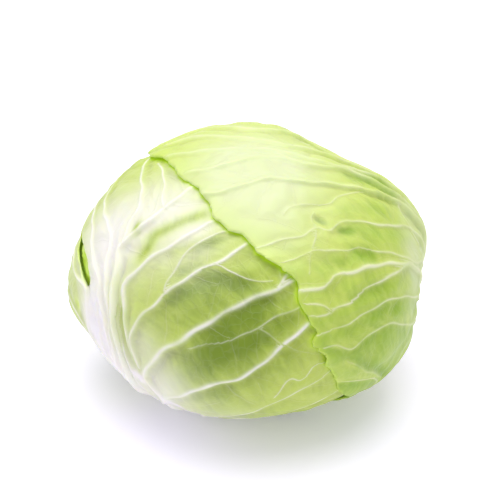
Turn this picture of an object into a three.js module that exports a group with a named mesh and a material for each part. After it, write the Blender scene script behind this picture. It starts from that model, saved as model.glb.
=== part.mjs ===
// A head of white cabbage, cut at the stalk and resting on a small flat spot.
// Millimetres, +Z up, origin on the surface that the head rests on.
// The head is a slightly squashed ball. Every leaf is a thin blade wrapped round
// it at its own depth, from the cut stalk over to its free margin, and its ribs
// are raised from the outer face of the blade.
import * as THREE from 'three';

// Overall form, seen from the head's centre.
const HEAD_CENTRE = [-0.1, -1.5, 65.5];
const HALF_WIDTH = 97;
const HALF_DEPTH = 101;
const HALF_HEIGHT_UP = 76;
const HALF_HEIGHT_DOWN = 70;

// Swells and hollows of the outer form: bearing in degrees (0 is +X, 90 is +Y),
// height angle in degrees, spread in degrees and rise in millimetres.
const SWELLS = [
  { bearing: 6, height: 10, spread: 15, rise: 4 },
  { bearing: 14, height: 24, spread: 13, rise: 2 },
  { bearing: 40, height: 46, spread: 17, rise: -6 },
  { bearing: 62, height: 57, spread: 15, rise: 3 },
  { bearing: 109, height: 59, spread: 18, rise: 2 },
  { bearing: 153, height: 38, spread: 13, rise: 2 },
  { bearing: -178, height: 4, spread: 40, rise: 2 },
  { bearing: -175, height: -9, spread: 14, rise: 5 },
  { bearing: -162, height: -28, spread: 17, rise: -7 },
  { bearing: -126, height: -54, spread: 20, rise: 4 },
  { bearing: -108, height: -58, spread: 17, rise: 3 },
  { bearing: -50, height: -53, spread: 15, rise: -4 },
  { bearing: -19, height: -30, spread: 18, rise: 6 },
  { bearing: -3, height: -5, spread: 14, rise: -5 },
  { bearing: 130, height: 10, spread: 30, rise: -3 },
  { bearing: 80, height: -15, spread: 25, rise: 2 },
];

// The stalk leaves the head low down, to the left and towards the front.
const STALK = { bearing: -144, height: -62 };
const STALK_RADIUS = 13;
const STALK_SEAT_RISE = 5.2;
const STALK_HOLLOW = { ...STALK, spread: 21, rise: -11 };
const STALK_CLEARANCE = 0.9;

// Leaves: thickness of a blade, free space under it, and ribs.
const BLADE = 1.0;
const GAP = 1.8;
const PITCH = BLADE + GAP;
const RIGHT_RIBS = { atStalk: 2.4, atMargin: 1.3 };
const LEFT_RIBS = { atStalk: 3.1, atMargin: 2.0 };
const UNDER_RIBS = { atStalk: 2.4, atMargin: 1.2 };
const COVERED_RIB_SHARE = 0.2;
const COVER_ENDS = { near: 8, far: 13 };

// Waves of a free margin: how far it lifts, in millimetres, and how far it is
// bitten back, as a share of the rib's length, with turns of phase per rib.
const MARGIN_LIFT = 0.8;
const LIFT_PHASE = 3.6;
const MARGIN_BITE = 0.01;
const BITE_PHASE = 5.1;

// Columns of a leaf's grid: one on each rib, and the others as shares of the way
// to the next rib.
const WRAPPER_COLUMNS = [0, 0.16, 0.5, 0.84];
const UNDER_COLUMNS = [0, 0.2, 0.8];
const WRAPPER_ROWS = 18;
const UNDER_ROWS = 13;
const ROW_EASING = 1.15;

const DEG = Math.PI / 180;

function direction(bearing, height) {
  const flat = Math.cos(height * DEG);
  return new THREE.Vector3(
    flat * Math.cos(bearing * DEG),
    flat * Math.sin(bearing * DEG),
    Math.sin(height * DEG),
  );
}

const stalkAxis = direction(STALK.bearing, STALK.height);
// Two directions square to the stalk: the first points right, the second to the front.
const stalkRight = new THREE.Vector3(1, 0, 0).projectOnPlane(stalkAxis).normalize();
const stalkFront = new THREE.Vector3().crossVectors(stalkAxis, stalkRight);

function swellAt(dir, swell) {
  const angle = dir.angleTo(direction(swell.bearing, swell.height)) / DEG;
  return swell.rise * Math.exp(-((angle / swell.spread) ** 2));
}

// Distance from the centre to the outer form. Deep layers take only half of a
// swell but the whole of a hollow, so they never press through the layer above.
function formRadius(dir, swellShare = 1) {
  const vertical = dir.z > 0 ? HALF_HEIGHT_UP : HALF_HEIGHT_DOWN;
  let radius = 1 / Math.hypot(dir.x / HALF_WIDTH, dir.y / HALF_DEPTH, dir.z / vertical);
  for (const swell of [...SWELLS, STALK_HOLLOW]) {
    radius += swellAt(dir, swell) * (swell.rise > 0 ? swellShare : 1);
  }
  return radius;
}

// A point at a depth under the outer form, with its relief pressed flat where
// its layer is pressed up by the surface that the head rests on.
function placeAt(dir, depth, relief, swellShare) {
  const point = dir.clone().multiplyScalar(formRadius(dir, swellShare) - depth + relief);
  point.z = Math.max(point.z, depth - HEAD_CENTRE[2]);
  return point;
}

// Degrees from the stalk's axis at which a layer's blade clears the stalk.
function leafStart(layer) {
  const reach = formRadius(stalkAxis) - layer * PITCH - BLADE;
  return Math.asin((STALK_RADIUS + STALK_CLEARANCE) / reach) / DEG;
}

// A direction some degrees away from the stalk's axis, turned round it.
function roundStalk(turn, away) {
  const side = stalkRight.clone().multiplyScalar(Math.cos(turn * DEG));
  side.addScaledVector(stalkFront, Math.sin(turn * DEG));
  return stalkAxis.clone().multiplyScalar(Math.cos(away * DEG)).addScaledVector(side, Math.sin(away * DEG));
}

// Lines of a leaf from stalk to margin, through bearings chosen by hand.
function drawnLines(layer, lines) {
  return lines.map(([turn, ...points]) => {
    const stops = [roundStalk(turn, leafStart(layer))];
    for (const [bearing, height] of points) stops.push(direction(bearing, height));
    return new THREE.CatmullRomCurve3(stops.map((stop) => stop.multiplyScalar(100)), false, 'centripetal');
  });
}

// The same by rule: a fan about the leaf's midrib, wide in the middle of the head.
function fannedLines(layer, { turn, count, reach, sideReach, width, baseHalf }) {
  const ahead = roundStalk(turn, 90);
  const across = new THREE.Vector3().crossVectors(stalkAxis, ahead);
  const stops = 6;
  return Array.from({ length: count }, (_, i) => {
    const w = 1 - (2 * i) / (count - 1);
    const points = [];
    for (let k = 0; k <= stops; k += 1) {
      const v = k / stops;
      const start = leafStart(layer) * Math.cos(w * baseHalf * DEG);
      const startSide = leafStart(layer) * Math.sin(w * baseHalf * DEG);
      const along = start + (reach - (reach - sideReach) * w * w - start) * v;
      const aside = startSide + (w * width - startSide) * Math.sin((v * Math.PI) / 2) ** 1.3;
      const plane = stalkAxis.clone().multiplyScalar(Math.cos(along * DEG));
      plane.addScaledVector(ahead, Math.sin(along * DEG)).multiplyScalar(Math.cos(aside * DEG));
      points.push(plane.addScaledVector(across, Math.sin(aside * DEG)).multiplyScalar(100));
    }
    return new THREE.CatmullRomCurve3(points, false, 'centripetal');
  });
}

// Directions of a leaf's grid: columns along the ribs and between them, rows from
// the stalk outwards, closer together where the lines are still bundled.
function leafGrid(lines, rows, shares) {
  const columns = [];
  for (let i = 0; i < lines.length; i += 1) {
    for (const share of i < lines.length - 1 ? shares : [0]) {
      const bite = MARGIN_BITE * (0.5 + 0.5 * Math.sin(BITE_PHASE * (i + share)));
      const wave = 0.5 + 0.5 * Math.sin(LIFT_PHASE * (i + share));
      const column = { rib: share === 0, wave, cells: [] };
      for (let r = 0; r <= rows; r += 1) {
        const v = (r / rows) ** ROW_EASING * (1 - bite * (r / rows) ** 6);
        const here = lines[i].getPointAt(v);
        if (share > 0) here.lerp(lines[i + 1].getPointAt(v), share);
        column.cells.push({ dir: here.normalize(), v: r / rows });
      }
      columns.push(column);
    }
  }
  return columns;
}

// 1 where a direction lies well under one of the leaves outside this one.
function coveredShare(dir, outerGrids) {
  let nearest = 180;
  for (const grid of outerGrids) {
    for (const column of grid) {
      for (const cell of column.cells) nearest = Math.min(nearest, cell.dir.angleTo(dir) / DEG);
    }
  }
  return 1 - THREE.MathUtils.smoothstep(nearest, COVER_ENDS.near, COVER_ENDS.far);
}

// A closed blade over the grid. Both faces are split alike, and a wall closes each
// free edge, so a slit is made by leaving out the cells along it.
function bladeGeometry(outer, inner, isOpen) {
  const wide = outer.length;
  const rows = outer[0].length;
  const positions = [];
  for (const layer of [outer, inner]) {
    for (const column of layer) {
      for (const point of column) positions.push(point.x, point.y, point.z);
    }
  }
  const id = (c, r) => c * rows + r;
  const under = wide * rows;
  const index = [];
  const edges = new Map();
  for (let c = 0; c < wide - 1; c += 1) {
    for (let r = 0; r < rows - 1; r += 1) {
      if (isOpen(c, r)) continue;
      const quad = [id(c, r), id(c + 1, r), id(c + 1, r + 1), id(c, r + 1)];
      index.push(quad[0], quad[1], quad[2], quad[0], quad[2], quad[3]);
      index.push(quad[0] + under, quad[2] + under, quad[1] + under);
      index.push(quad[0] + under, quad[3] + under, quad[2] + under);
      quad.forEach((from, k) => edges.set(`${from}_${quad[(k + 1) % 4]}`, [from, quad[(k + 1) % 4]]));
    }
  }
  for (const [from, to] of edges.values()) {
    if (edges.has(`${to}_${from}`)) continue;
    index.push(to, from, from + under, to, from + under, to + under);
  }
  const geometry = new THREE.BufferGeometry();
  geometry.setAttribute('position', new THREE.Float32BufferAttribute(positions, 3));
  geometry.setIndex(index);
  return geometry;
}

// A leaf at its place in the stack, with ribs on its outer face. Ribs and lifted
// margins are low where another leaf lies over them.
function leafGeometry({ grid, layer, ribs, outerGrids, swellShare, isOpen = () => false }) {
  const depth = layer * PITCH;
  const outer = [];
  const inner = [];
  for (const column of grid) {
    const outerColumn = [];
    const innerColumn = [];
    for (const { dir, v } of column.cells) {
      const free = 1 - (1 - COVERED_RIB_SHARE) * coveredShare(dir, outerGrids);
      const rib = column.rib ? THREE.MathUtils.lerp(ribs.atStalk, ribs.atMargin, v ** 0.7) : 0;
      const lift = MARGIN_LIFT * column.wave * v ** 8 * free;
      outerColumn.push(placeAt(dir, depth, rib * free + lift, swellShare));
      innerColumn.push(placeAt(dir, depth + BLADE, lift, swellShare));
    }
    outer.push(outerColumn);
    inner.push(innerColumn);
  }
  return bladeGeometry(outer, inner, isOpen);
}

// The right wrapper leaf, outermost. Its ribs run from the stalk under the head,
// up the right side, and fan out to a margin that crosses the front and the top.
const rightLines = drawnLines(0, [
  [62, [-96, -72], [-60, -56], [-49, -40], [-48, -27], [-60, -13]],
  [56, [-84, -72], [-46, -52], [-35, -35], [-38, -22], [-50, -12], [-63, -8]],
  [50, [-70, -70], [-30, -46], [-21, -28], [-30, -16], [-52, -4], [-66, -3]],
  [40, [-45, -68], [-13, -36], [-14, -12], [-30, 0], [-45, 5], [-58, 4], [-66, 4]],
  [30, [-20, -66], [-7, -34], [-9, -8], [-24, 7], [-42, 12], [-56, 12], [-71, 13]],
  [22, [-8, -63], [-3, -32], [-5, -4], [-19, 13], [-36, 23], [-55, 25], [-74, 24]],
  [14, [2, -61], [1, -30], [-1, 0], [-13, 20], [-30, 33], [-54, 37], [-79, 33]],
  [6, [10, -59], [4, -28], [2, 3], [-7, 26], [-24, 43], [-56, 50], [-90, 41]],
  [-2, [18, -57], [7, -26], [5, 5], [1, 30], [-14, 52], [-70, 66], [-111, 50]],
  [-10, [26, -55], [11, -25], [8, 6], [9, 31], [12, 56], [-90, 84], [-133, 59]],
  [-18, [34, -54], [15, -24], [12, 7], [17, 31], [34, 54], [100, 78], [-178, 57]],
  [-26, [42, -53], [20, -24], [17, 7], [26, 30], [45, 47], [92, 62], [156, 46]],
  [-34, [52, -52], [27, -24], [26, 5], [42, 25], [68, 38], [105, 42], [136, 34]],
  [-42, [64, -51], [38, -25], [42, 0], [62, 14], [90, 21], [122, 17]],
  [-52, [80, -52], [58, -30], [68, -8], [92, 0], [114, -1]],
  [-64, [104, -56], [88, -40], [96, -26], [110, -20]],
]);

// The left wrapper leaf, just under the first. Its midrib turns up the left side,
// and long side ribs cross the front from it.
const leftLines = drawnLines(1, [
  [180, [-168, -44], [-170, -24], [176, -14], [158, -14], [146, -15]],
  [166, [-155, -40], [-150, -16], [-155, -1], [-170, 5], [164, 3], [146, 1]],
  [156, [-147, -38], [-143, -12], [-146, 5], [-160, 15], [178, 20], [149, 18]],
  [147, [-142, -38], [-139, -12], [-141, 7], [-154, 23], [-179, 33], [150, 34]],
  [138, [-138, -38], [-136, -13], [-138, 6], [-147, 28], [-162, 45], [158, 52]],
  [130, [-135, -38], [-133, -14], [-134, 5], [-140, 24], [-137, 44], [-112, 66]],
  [122, [-132, -38], [-130, -14], [-130, 4], [-134, 20], [-122, 36], [-98, 53]],
  [114, [-129, -38], [-126, -16], [-126, 2], [-121, 17], [-106, 32], [-76, 46]],
  [106, [-126, -38], [-123, -16], [-120, -2], [-109, 10], [-90, 22], [-63, 32]],
  [96, [-121, -38], [-118, -20], [-109, -9], [-93, 0], [-78, 9], [-60, 16]],
  [78, [-108, -46], [-88, -32], [-68, -20], [-48, -8]],
  [65, [-103, -53], [-77, -39], [-54, -26], [-37, -14]],
  [52, [-98, -60], [-62, -46], [-38, -32], [-26, -20]],
]);

const rightGrid = leafGrid(rightLines, WRAPPER_ROWS, WRAPPER_COLUMNS);
const leftGrid = leafGrid(leftLines, WRAPPER_ROWS, WRAPPER_COLUMNS);

// A split in the left leaf, beside the third rib from its back edge.
const SPLIT_COLUMN = 2 * WRAPPER_COLUMNS.length - 1;
const SPLIT_ROWS = [9, 13];
const isSplit = (c, r) => c === SPLIT_COLUMN && r >= SPLIT_ROWS[0] && r < SPLIT_ROWS[1];

// Under leaves follow the turn from one leaf to the next up the stalk.
const TURN_PER_LEAF = 137.5;
const FIRST_UNDER_TURN = 262;
const UNDER_BASE_HALF = 58;
const UNDER_SWELL_SHARE = 0.5;
const UNDER_LEAVES = [
  { name: 'under_leaf_back', count: 9, reach: 158, sideReach: 108, width: 72, colour: 0xa9bf62 },
  { name: 'under_leaf_front', count: 7, reach: 160, sideReach: 112, width: 62, colour: 0xb9cb78 },
  { name: 'under_leaf_left', count: 7, reach: 162, sideReach: 116, width: 56, colour: 0xc6d68c },
];

function finish(colour, roughness) {
  return new THREE.MeshStandardMaterial({ color: colour, roughness, metalness: 0 });
}

function addLeaf(head, name, geometry, colour) {
  const leaf = new THREE.Mesh(geometry, finish(colour, 0.5));
  leaf.name = name;
  head.add(leaf);
}

// The tightly packed inner head: one dense body with the ribs of its own outer
// leaves, which run from the stalk to the crown.
const INNER_AROUND = 36;
const INNER_RINGS = 20;
const INNER_RIB = 0.7;
const INNER_RIBS_AROUND = 9;

function innerHeadGeometry(depth) {
  const positions = [];
  const index = [];
  const ringDirection = (ring, i) => roundStalk((360 * i) / INNER_AROUND, (180 * ring) / INNER_RINGS);
  const push = (dir) => {
    const turn = Math.atan2(dir.dot(stalkFront), dir.dot(stalkRight));
    const rib = INNER_RIB * Math.max(0, Math.cos(turn * INNER_RIBS_AROUND)) * (1 - dir.dot(stalkAxis) ** 2);
    const point = placeAt(dir, depth + INNER_RIB, rib, UNDER_SWELL_SHARE);
    positions.push(point.x, point.y, point.z);
  };
  push(stalkAxis);
  for (let ring = 1; ring < INNER_RINGS; ring += 1) {
    for (let i = 0; i < INNER_AROUND; i += 1) push(ringDirection(ring, i));
  }
  push(ringDirection(INNER_RINGS, 0));
  const id = (ring, i) => 1 + (ring - 1) * INNER_AROUND + (i % INNER_AROUND);
  const last = positions.length / 3 - 1;
  for (let i = 0; i < INNER_AROUND; i += 1) {
    index.push(0, id(1, i), id(1, i + 1));
    index.push(last, id(INNER_RINGS - 1, i + 1), id(INNER_RINGS - 1, i));
    for (let ring = 1; ring < INNER_RINGS - 1; ring += 1) {
      index.push(id(ring, i), id(ring + 1, i), id(ring + 1, i + 1));
      index.push(id(ring, i), id(ring + 1, i + 1), id(ring, i + 1));
    }
  }
  const geometry = new THREE.BufferGeometry();
  geometry.setAttribute('position', new THREE.Float32BufferAttribute(positions, 3));
  geometry.setIndex(index);
  return geometry;
}

// The stalk butt: a short woody plug among the leaf bases, cut nearly level with
// them, with a worn rim and a pith that has shrunk a little below the cut. The
// profile gives each point's radius and its distance from the head's centre.
const STALK_SIDES = 28;
const PITH_RADIUS = 6;
const PITH_SINK = 0.9;

function stalkGeometry(seat) {
  const face = formRadius(stalkAxis) - 0.4;
  const profile = [
    [0, seat],
    [STALK_RADIUS - 2.5, seat],
    [STALK_RADIUS - 0.6, seat + 2],
    [STALK_RADIUS, face - 2.6],
    [STALK_RADIUS - 0.5, face - 0.8],
    [STALK_RADIUS - 1.4, face],
    [PITH_RADIUS + 1, face],
    [PITH_RADIUS, face - PITH_SINK],
    [0, face - PITH_SINK],
  ];
  return new THREE.LatheGeometry(profile.map(([x, y]) => new THREE.Vector2(x, y)), STALK_SIDES);
}

function buildHead() {
  const head = new THREE.Group();
  head.position.set(...HEAD_CENTRE);
  addLeaf(head, 'wrapper_leaf_right', leafGeometry({
    grid: rightGrid, layer: 0, ribs: RIGHT_RIBS, outerGrids: [], swellShare: 1,
  }), 0xcbe07c);
  addLeaf(head, 'wrapper_leaf_left', leafGeometry({
    grid: leftGrid, layer: 1, ribs: LEFT_RIBS, outerGrids: [rightGrid], swellShare: 1, isOpen: isSplit,
  }), 0xb4c985);
  const outerGrids = [rightGrid, leftGrid];
  UNDER_LEAVES.forEach(({ name, colour, ...fan }, k) => {
    const turn = FIRST_UNDER_TURN + k * TURN_PER_LEAF;
    const lines = fannedLines(k + 2, { turn, baseHalf: UNDER_BASE_HALF, ...fan });
    const grid = leafGrid(lines, UNDER_ROWS, UNDER_COLUMNS);
    const geometry = leafGeometry({
      grid, layer: k + 2, ribs: UNDER_RIBS, outerGrids, swellShare: UNDER_SWELL_SHARE,
    });
    addLeaf(head, name, geometry, colour);
    outerGrids.push(grid);
  });
  const innerDepth = (UNDER_LEAVES.length + 2) * PITCH;
  addLeaf(head, 'inner_head', innerHeadGeometry(innerDepth), 0xdfe8ae);
  const seat = formRadius(stalkAxis, UNDER_SWELL_SHARE) - innerDepth + STALK_SEAT_RISE;
  const stalk = new THREE.Mesh(stalkGeometry(seat), finish(0xe6e0cc, 0.7));
  stalk.name = 'stalk_butt';
  stalk.quaternion.setFromUnitVectors(new THREE.Vector3(0, 1, 0), stalkAxis);
  head.add(stalk);
  const part = new THREE.Group();
  part.add(head);
  return part;
}

export default buildHead();
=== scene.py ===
# %% [markdown]
# A head of white cabbage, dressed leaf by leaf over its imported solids.
# The solids give the size, the places and the main ribs of seven pieces: two
# wrapper leaves, three leaves under them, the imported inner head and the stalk.
# This script makes a finer copy of each piece on the same form, raises its ribs
# and veins with Geometry Nodes, and paints it with procedural materials.

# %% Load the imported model
import math

import bpy
import numpy as np
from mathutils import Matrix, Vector
from mathutils.kdtree import KDTree


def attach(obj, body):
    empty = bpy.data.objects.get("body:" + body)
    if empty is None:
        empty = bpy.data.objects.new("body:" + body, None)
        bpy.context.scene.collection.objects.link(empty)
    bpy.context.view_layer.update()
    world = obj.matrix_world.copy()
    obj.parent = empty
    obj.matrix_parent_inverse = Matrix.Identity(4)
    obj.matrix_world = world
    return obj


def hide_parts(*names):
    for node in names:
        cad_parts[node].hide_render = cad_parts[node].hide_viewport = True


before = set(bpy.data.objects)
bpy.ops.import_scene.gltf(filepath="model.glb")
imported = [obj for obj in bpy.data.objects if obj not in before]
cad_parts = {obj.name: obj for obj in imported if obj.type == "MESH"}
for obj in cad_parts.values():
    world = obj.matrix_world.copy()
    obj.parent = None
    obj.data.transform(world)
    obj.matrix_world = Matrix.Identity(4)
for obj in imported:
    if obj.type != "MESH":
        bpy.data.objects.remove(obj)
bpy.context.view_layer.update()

print("packed nodes:", ", ".join(sorted(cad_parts)))

# %% [markdown]
# The camera stands where the photographer stood: about 30 degrees above the
# table and far enough away that the head is drawn with little perspective. Its
# place could be guessed by eye, but here it was solved from the outline of the
# head, so that every rib lands where the photograph has it.

# %% Place the camera
MM = 0.001
VIEW_HEIGHT = math.radians(30)
VIEW_DISTANCE = 0.774
LOOK_AT = Vector((0.0014, 0.006, 0.0759))

camera_data = bpy.data.cameras.new("camera")
camera_data.lens = 100
camera_data.sensor_width = 36
camera_data.clip_end = 30
camera = bpy.data.objects.new("camera", camera_data)
bpy.context.scene.collection.objects.link(camera)
camera.rotation_euler = (math.pi / 2 - VIEW_HEIGHT, 0, 0)
camera.location = LOOK_AT + Vector((0, -math.cos(VIEW_HEIGHT), math.sin(VIEW_HEIGHT))) * VIEW_DISTANCE
bpy.context.scene.camera = camera
print("camera at", [round(v, 3) for v in camera.location])

# %% [markdown]
# The form of the head is a rule: a squashed ball with soft swells and hollows,
# measured from its centre by bearing and height angle. Sculpting could give the
# same form, but a rule lets every leaf sit at its own depth under it, so that no
# leaf cuts through the next. The numbers are those of the solids, in millimetres.

# %% The form of the head
HEAD_CENTRE = np.array([-0.1, -1.5, 65.5])
HALF_WIDTH = 97
HALF_DEPTH = 101
HALF_HEIGHT_UP = 76
HALF_HEIGHT_DOWN = 70
STALK = (-144, -62)
STALK_RADIUS = 13
STALK_CLEARANCE = 0.9
BLADE = 1.0
PITCH = 2.8
# Bearing, height, spread in degrees, and rise in millimetres.
SWELLS = [
    (6, 10, 15, 4), (14, 24, 13, 2), (40, 46, 17, -6), (62, 57, 15, 3),
    (109, 59, 18, 2), (153, 38, 13, 2), (-178, 4, 40, 2), (-175, -9, 14, 5),
    (-162, -28, 17, -7), (-126, -54, 20, 4), (-108, -58, 17, 3), (-50, -53, 15, -4),
    (-19, -30, 18, 6), (-3, -5, 14, -5), (130, 10, 30, -3), (80, -15, 25, 2),
    (*STALK, 21, -11),
]


def unit(bearing, height):
    """A direction from the head's centre."""
    bearing, height = np.radians(bearing), np.radians(height)
    flat = np.cos(height)
    return np.stack([flat * np.cos(bearing), flat * np.sin(bearing), np.sin(height)], -1)


def normalised(vectors):
    return vectors / np.linalg.norm(vectors, axis=-1, keepdims=True)


def form_radius(dirs, swell_share=1.0):
    """Distance from the centre to the outer form, in millimetres."""
    upright = np.where(dirs[..., 2] > 0, HALF_HEIGHT_UP, HALF_HEIGHT_DOWN)
    scaled = np.stack([dirs[..., 0] / HALF_WIDTH, dirs[..., 1] / HALF_DEPTH, dirs[..., 2] / upright], -1)
    radius = 1 / np.linalg.norm(scaled, axis=-1)
    for bearing, height, spread, rise in SWELLS:
        angle = np.degrees(np.arccos(np.clip(dirs @ unit(bearing, height), -1, 1)))
        radius += (rise * swell_share if rise > 0 else rise) * np.exp(-((angle / spread) ** 2))
    return radius


def place(dirs, depth, relief=0.0, swell_share=1.0):
    """Points at a depth under the form, pressed flat where the head rests."""
    points = dirs * (form_radius(dirs, swell_share) - depth + relief)[..., None] + HEAD_CENTRE
    points[..., 2] = np.maximum(points[..., 2], depth)
    return points


stalk_axis = unit(*STALK)
stalk_right = normalised(np.array([1.0, 0, 0]) - stalk_axis[0] * stalk_axis)
stalk_front = np.cross(stalk_axis, stalk_right)
print("the form is", round(float(form_radius(unit(0, 90)) + HEAD_CENTRE[2]), 1), "mm tall")

# %% [markdown]
# A cabbage leaf grows from the stalk as a fan of ribs. Each wrapper leaf is drawn
# by lines that run from the cut stalk, under and round the head, to the leaf's
# free margin. A smooth curve goes through given bearings on each line, and
# the blade is spread between neighbouring lines. These are the lines of the
# solids, so the finer leaves keep their form.

# %% Lines of the two wrapper leaves
# Each line starts with its turn round the stalk; then come bearing and height.
RIGHT_LINES = [
    [62, [-96, -72], [-60, -56], [-49, -40], [-48, -27], [-60, -13]],
    [56, [-84, -72], [-46, -52], [-35, -35], [-38, -22], [-50, -12], [-63, -8]],
    [50, [-70, -70], [-30, -46], [-21, -28], [-30, -16], [-52, -4], [-66, -3]],
    [40, [-45, -68], [-13, -36], [-14, -12], [-30, 0], [-45, 5], [-58, 4], [-66, 4]],
    [30, [-20, -66], [-7, -34], [-9, -8], [-24, 7], [-42, 12], [-56, 12], [-71, 13]],
    [22, [-8, -63], [-3, -32], [-5, -4], [-19, 13], [-36, 23], [-55, 25], [-74, 24]],
    [14, [2, -61], [1, -30], [-1, 0], [-13, 20], [-30, 33], [-54, 37], [-79, 33]],
    [6, [10, -59], [4, -28], [2, 3], [-7, 26], [-24, 43], [-56, 50], [-90, 41]],
    [-2, [18, -57], [7, -26], [5, 5], [1, 30], [-14, 52], [-70, 66], [-111, 50]],
    [-10, [26, -55], [11, -25], [8, 6], [9, 31], [12, 56], [-90, 84], [-133, 59]],
    [-18, [34, -54], [15, -24], [12, 7], [17, 31], [34, 54], [100, 78], [-178, 57]],
    [-26, [42, -53], [20, -24], [17, 7], [26, 30], [45, 47], [92, 62], [156, 46]],
    [-34, [52, -52], [27, -24], [26, 5], [42, 25], [68, 38], [105, 42], [136, 34]],
    [-42, [64, -51], [38, -25], [42, 0], [62, 14], [90, 21], [122, 17]],
    [-52, [80, -52], [58, -30], [68, -8], [92, 0], [114, -1]],
    [-64, [104, -56], [88, -40], [96, -26], [110, -20]],
]
LEFT_LINES = [
    [180, [-168, -44], [-170, -24], [176, -14], [158, -14], [146, -15]],
    [166, [-155, -40], [-150, -16], [-155, -1], [-170, 5], [164, 3], [146, 1]],
    [156, [-147, -38], [-143, -12], [-146, 5], [-160, 15], [178, 20], [149, 18]],
    [147, [-142, -38], [-139, -12], [-141, 7], [-154, 23], [-179, 33], [150, 34]],
    [138, [-138, -38], [-136, -13], [-138, 6], [-147, 28], [-162, 45], [158, 52]],
    [130, [-135, -38], [-133, -14], [-134, 5], [-140, 24], [-137, 44], [-112, 66]],
    [122, [-132, -38], [-130, -14], [-130, 4], [-134, 20], [-122, 36], [-98, 53]],
    [114, [-129, -38], [-126, -16], [-126, 2], [-121, 17], [-106, 32], [-76, 46]],
    [106, [-126, -38], [-123, -16], [-120, -2], [-109, 10], [-90, 22], [-63, 32]],
    [96, [-121, -38], [-118, -20], [-109, -9], [-93, 0], [-78, 9], [-60, 16]],
    [78, [-108, -46], [-88, -32], [-68, -20], [-48, -8]],
    [65, [-103, -53], [-77, -39], [-54, -26], [-37, -14]],
    [52, [-98, -60], [-62, -46], [-38, -32], [-26, -20]],
]
print(len(RIGHT_LINES), "lines on the right leaf,", len(LEFT_LINES), "on the left leaf")

# %% [markdown]
# Two helpers turn given points into smooth curves. The curve is the
# centripetal kind, which passes through every point and never loops between two
# that lie close together, as Blender's automatic handles sometimes do.

# %% Smooth curves through chosen points
def smooth_path(stops, per_span=24):
    """Points on a centripetal Catmull-Rom curve through the stops."""
    stops = np.asarray(stops, float)
    ends = [2 * stops[0] - stops[1], *stops, 2 * stops[-1] - stops[-2]]
    t = np.linspace(0, 1, per_span, endpoint=False)[:, None]
    spans = []
    for a, b, c, d in zip(ends, ends[1:], ends[2:], ends[3:]):
        before, along, after = (np.linalg.norm(q - p) ** 0.5 for p, q in ((a, b), (b, c), (c, d)))
        leave = ((b - a) / before - (c - a) / (before + along) + (c - b) / along) * along
        arrive = ((c - b) / along - (d - b) / (along + after) + (d - c) / after) * along
        spans.append(b + leave * t + (3 * (c - b) - 2 * leave - arrive) * t**2
                     + (2 * (b - c) + leave + arrive) * t**3)
    return np.vstack([*spans, stops[-1:]])


def at_shares(path, shares):
    """Points at shares of a path's length; past 1 the path goes straight on."""
    steps = np.linalg.norm(np.diff(path, axis=0), axis=1)
    along = np.concatenate([[0], np.cumsum(steps)])
    wanted = np.asarray(shares) * along[-1]
    points = np.stack([np.interp(wanted, along, path[:, k]) for k in range(3)], 1)
    heading = normalised(path[-1] - path[-2])
    return points + np.maximum(wanted - along[-1], 0)[:, None] * heading


def round_stalk(turn, away):
    """A direction some degrees away from the stalk's axis, turned round it."""
    turn, away = np.radians(turn), np.radians(away)
    side = stalk_right * np.cos(turn) + stalk_front * np.sin(turn)
    return stalk_axis * np.cos(away) + side * np.sin(away)


def leaf_start(layer):
    """Degrees from the stalk's axis at which a layer clears the stalk."""
    reach = form_radius(stalk_axis) - layer * PITCH - BLADE
    return math.degrees(math.asin((STALK_RADIUS + STALK_CLEARANCE) / reach))


print("leaves start", round(leaf_start(0), 1), "degrees from the stalk's axis")

# %% [markdown]
# A leaf's own map has two numbers for each point of the blade: which line it is
# on, counted across the leaf, and how far along that line it is, from 0 at the
# stalk to 1 at the margin of the solid. A table of directions, smoothed across
# the lines, turns such a pair into a place on the head.

# %% A leaf's own map
TABLE_END = 1.12
TABLE_ROWS = 281


def drawn_table(lines, layer):
    """Directions of a leaf drawn line by line."""
    rows = np.linspace(0, TABLE_END, TABLE_ROWS)
    table = []
    for turn, *bearings in lines:
        stops = [round_stalk(turn, leaf_start(layer)), *(unit(b, h) for b, h in bearings)]
        table.append(at_shares(smooth_path(100 * np.array(stops)), rows))
    return np.array(table)


def fanned_table(layer, turn, count, reach, side_reach, width, base_half=58):
    """Directions of an under leaf, spread by rule about its midrib."""
    ahead = round_stalk(turn, 90)
    across = np.cross(stalk_axis, ahead)
    v = np.linspace(0, 1, 7)
    rows = np.linspace(0, TABLE_END, TABLE_ROWS)
    table = []
    for w in np.linspace(1, -1, count):
        start = leaf_start(layer) * math.cos(math.radians(w * base_half))
        side = leaf_start(layer) * math.sin(math.radians(w * base_half))
        along = np.radians(start + (reach - (reach - side_reach) * w * w - start) * v)[:, None]
        aside = np.radians(side + (w * width - side) * np.sin(v * np.pi / 2) ** 1.3)[:, None]
        plane = np.cos(aside) * (np.cos(along) * stalk_axis + np.sin(along) * ahead)
        table.append(at_shares(smooth_path(100 * (plane + np.sin(aside) * across)), rows))
    return np.array(table)


def directions(table, line, share):
    """Directions at line numbers and shares, smooth across the lines."""
    row = np.clip(share / TABLE_END * (TABLE_ROWS - 1), 0, TABLE_ROWS - 1.001)
    low = row.astype(int)
    part = (row - low)[..., None]
    padded = np.concatenate([2 * table[:1] - table[1:2], table, 2 * table[-1:] - table[-2:-1]])
    left = np.clip(np.floor(line), 0, len(table) - 2).astype(int)
    t = (line - left)[..., None]
    a, b, c, d = (padded[left + k, low] * (1 - part) + padded[left + k, low + 1] * part for k in range(4))
    blend = b + 0.5 * t * (c - a + t * (2 * a - 5 * b + 4 * c - d + t * (3 * (b - c) + d - a)))
    return normalised(blend)


right_table = drawn_table(RIGHT_LINES, 0)
left_table = drawn_table(LEFT_LINES, 1)
print("leaf tables:", right_table.shape, left_table.shape)

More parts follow.
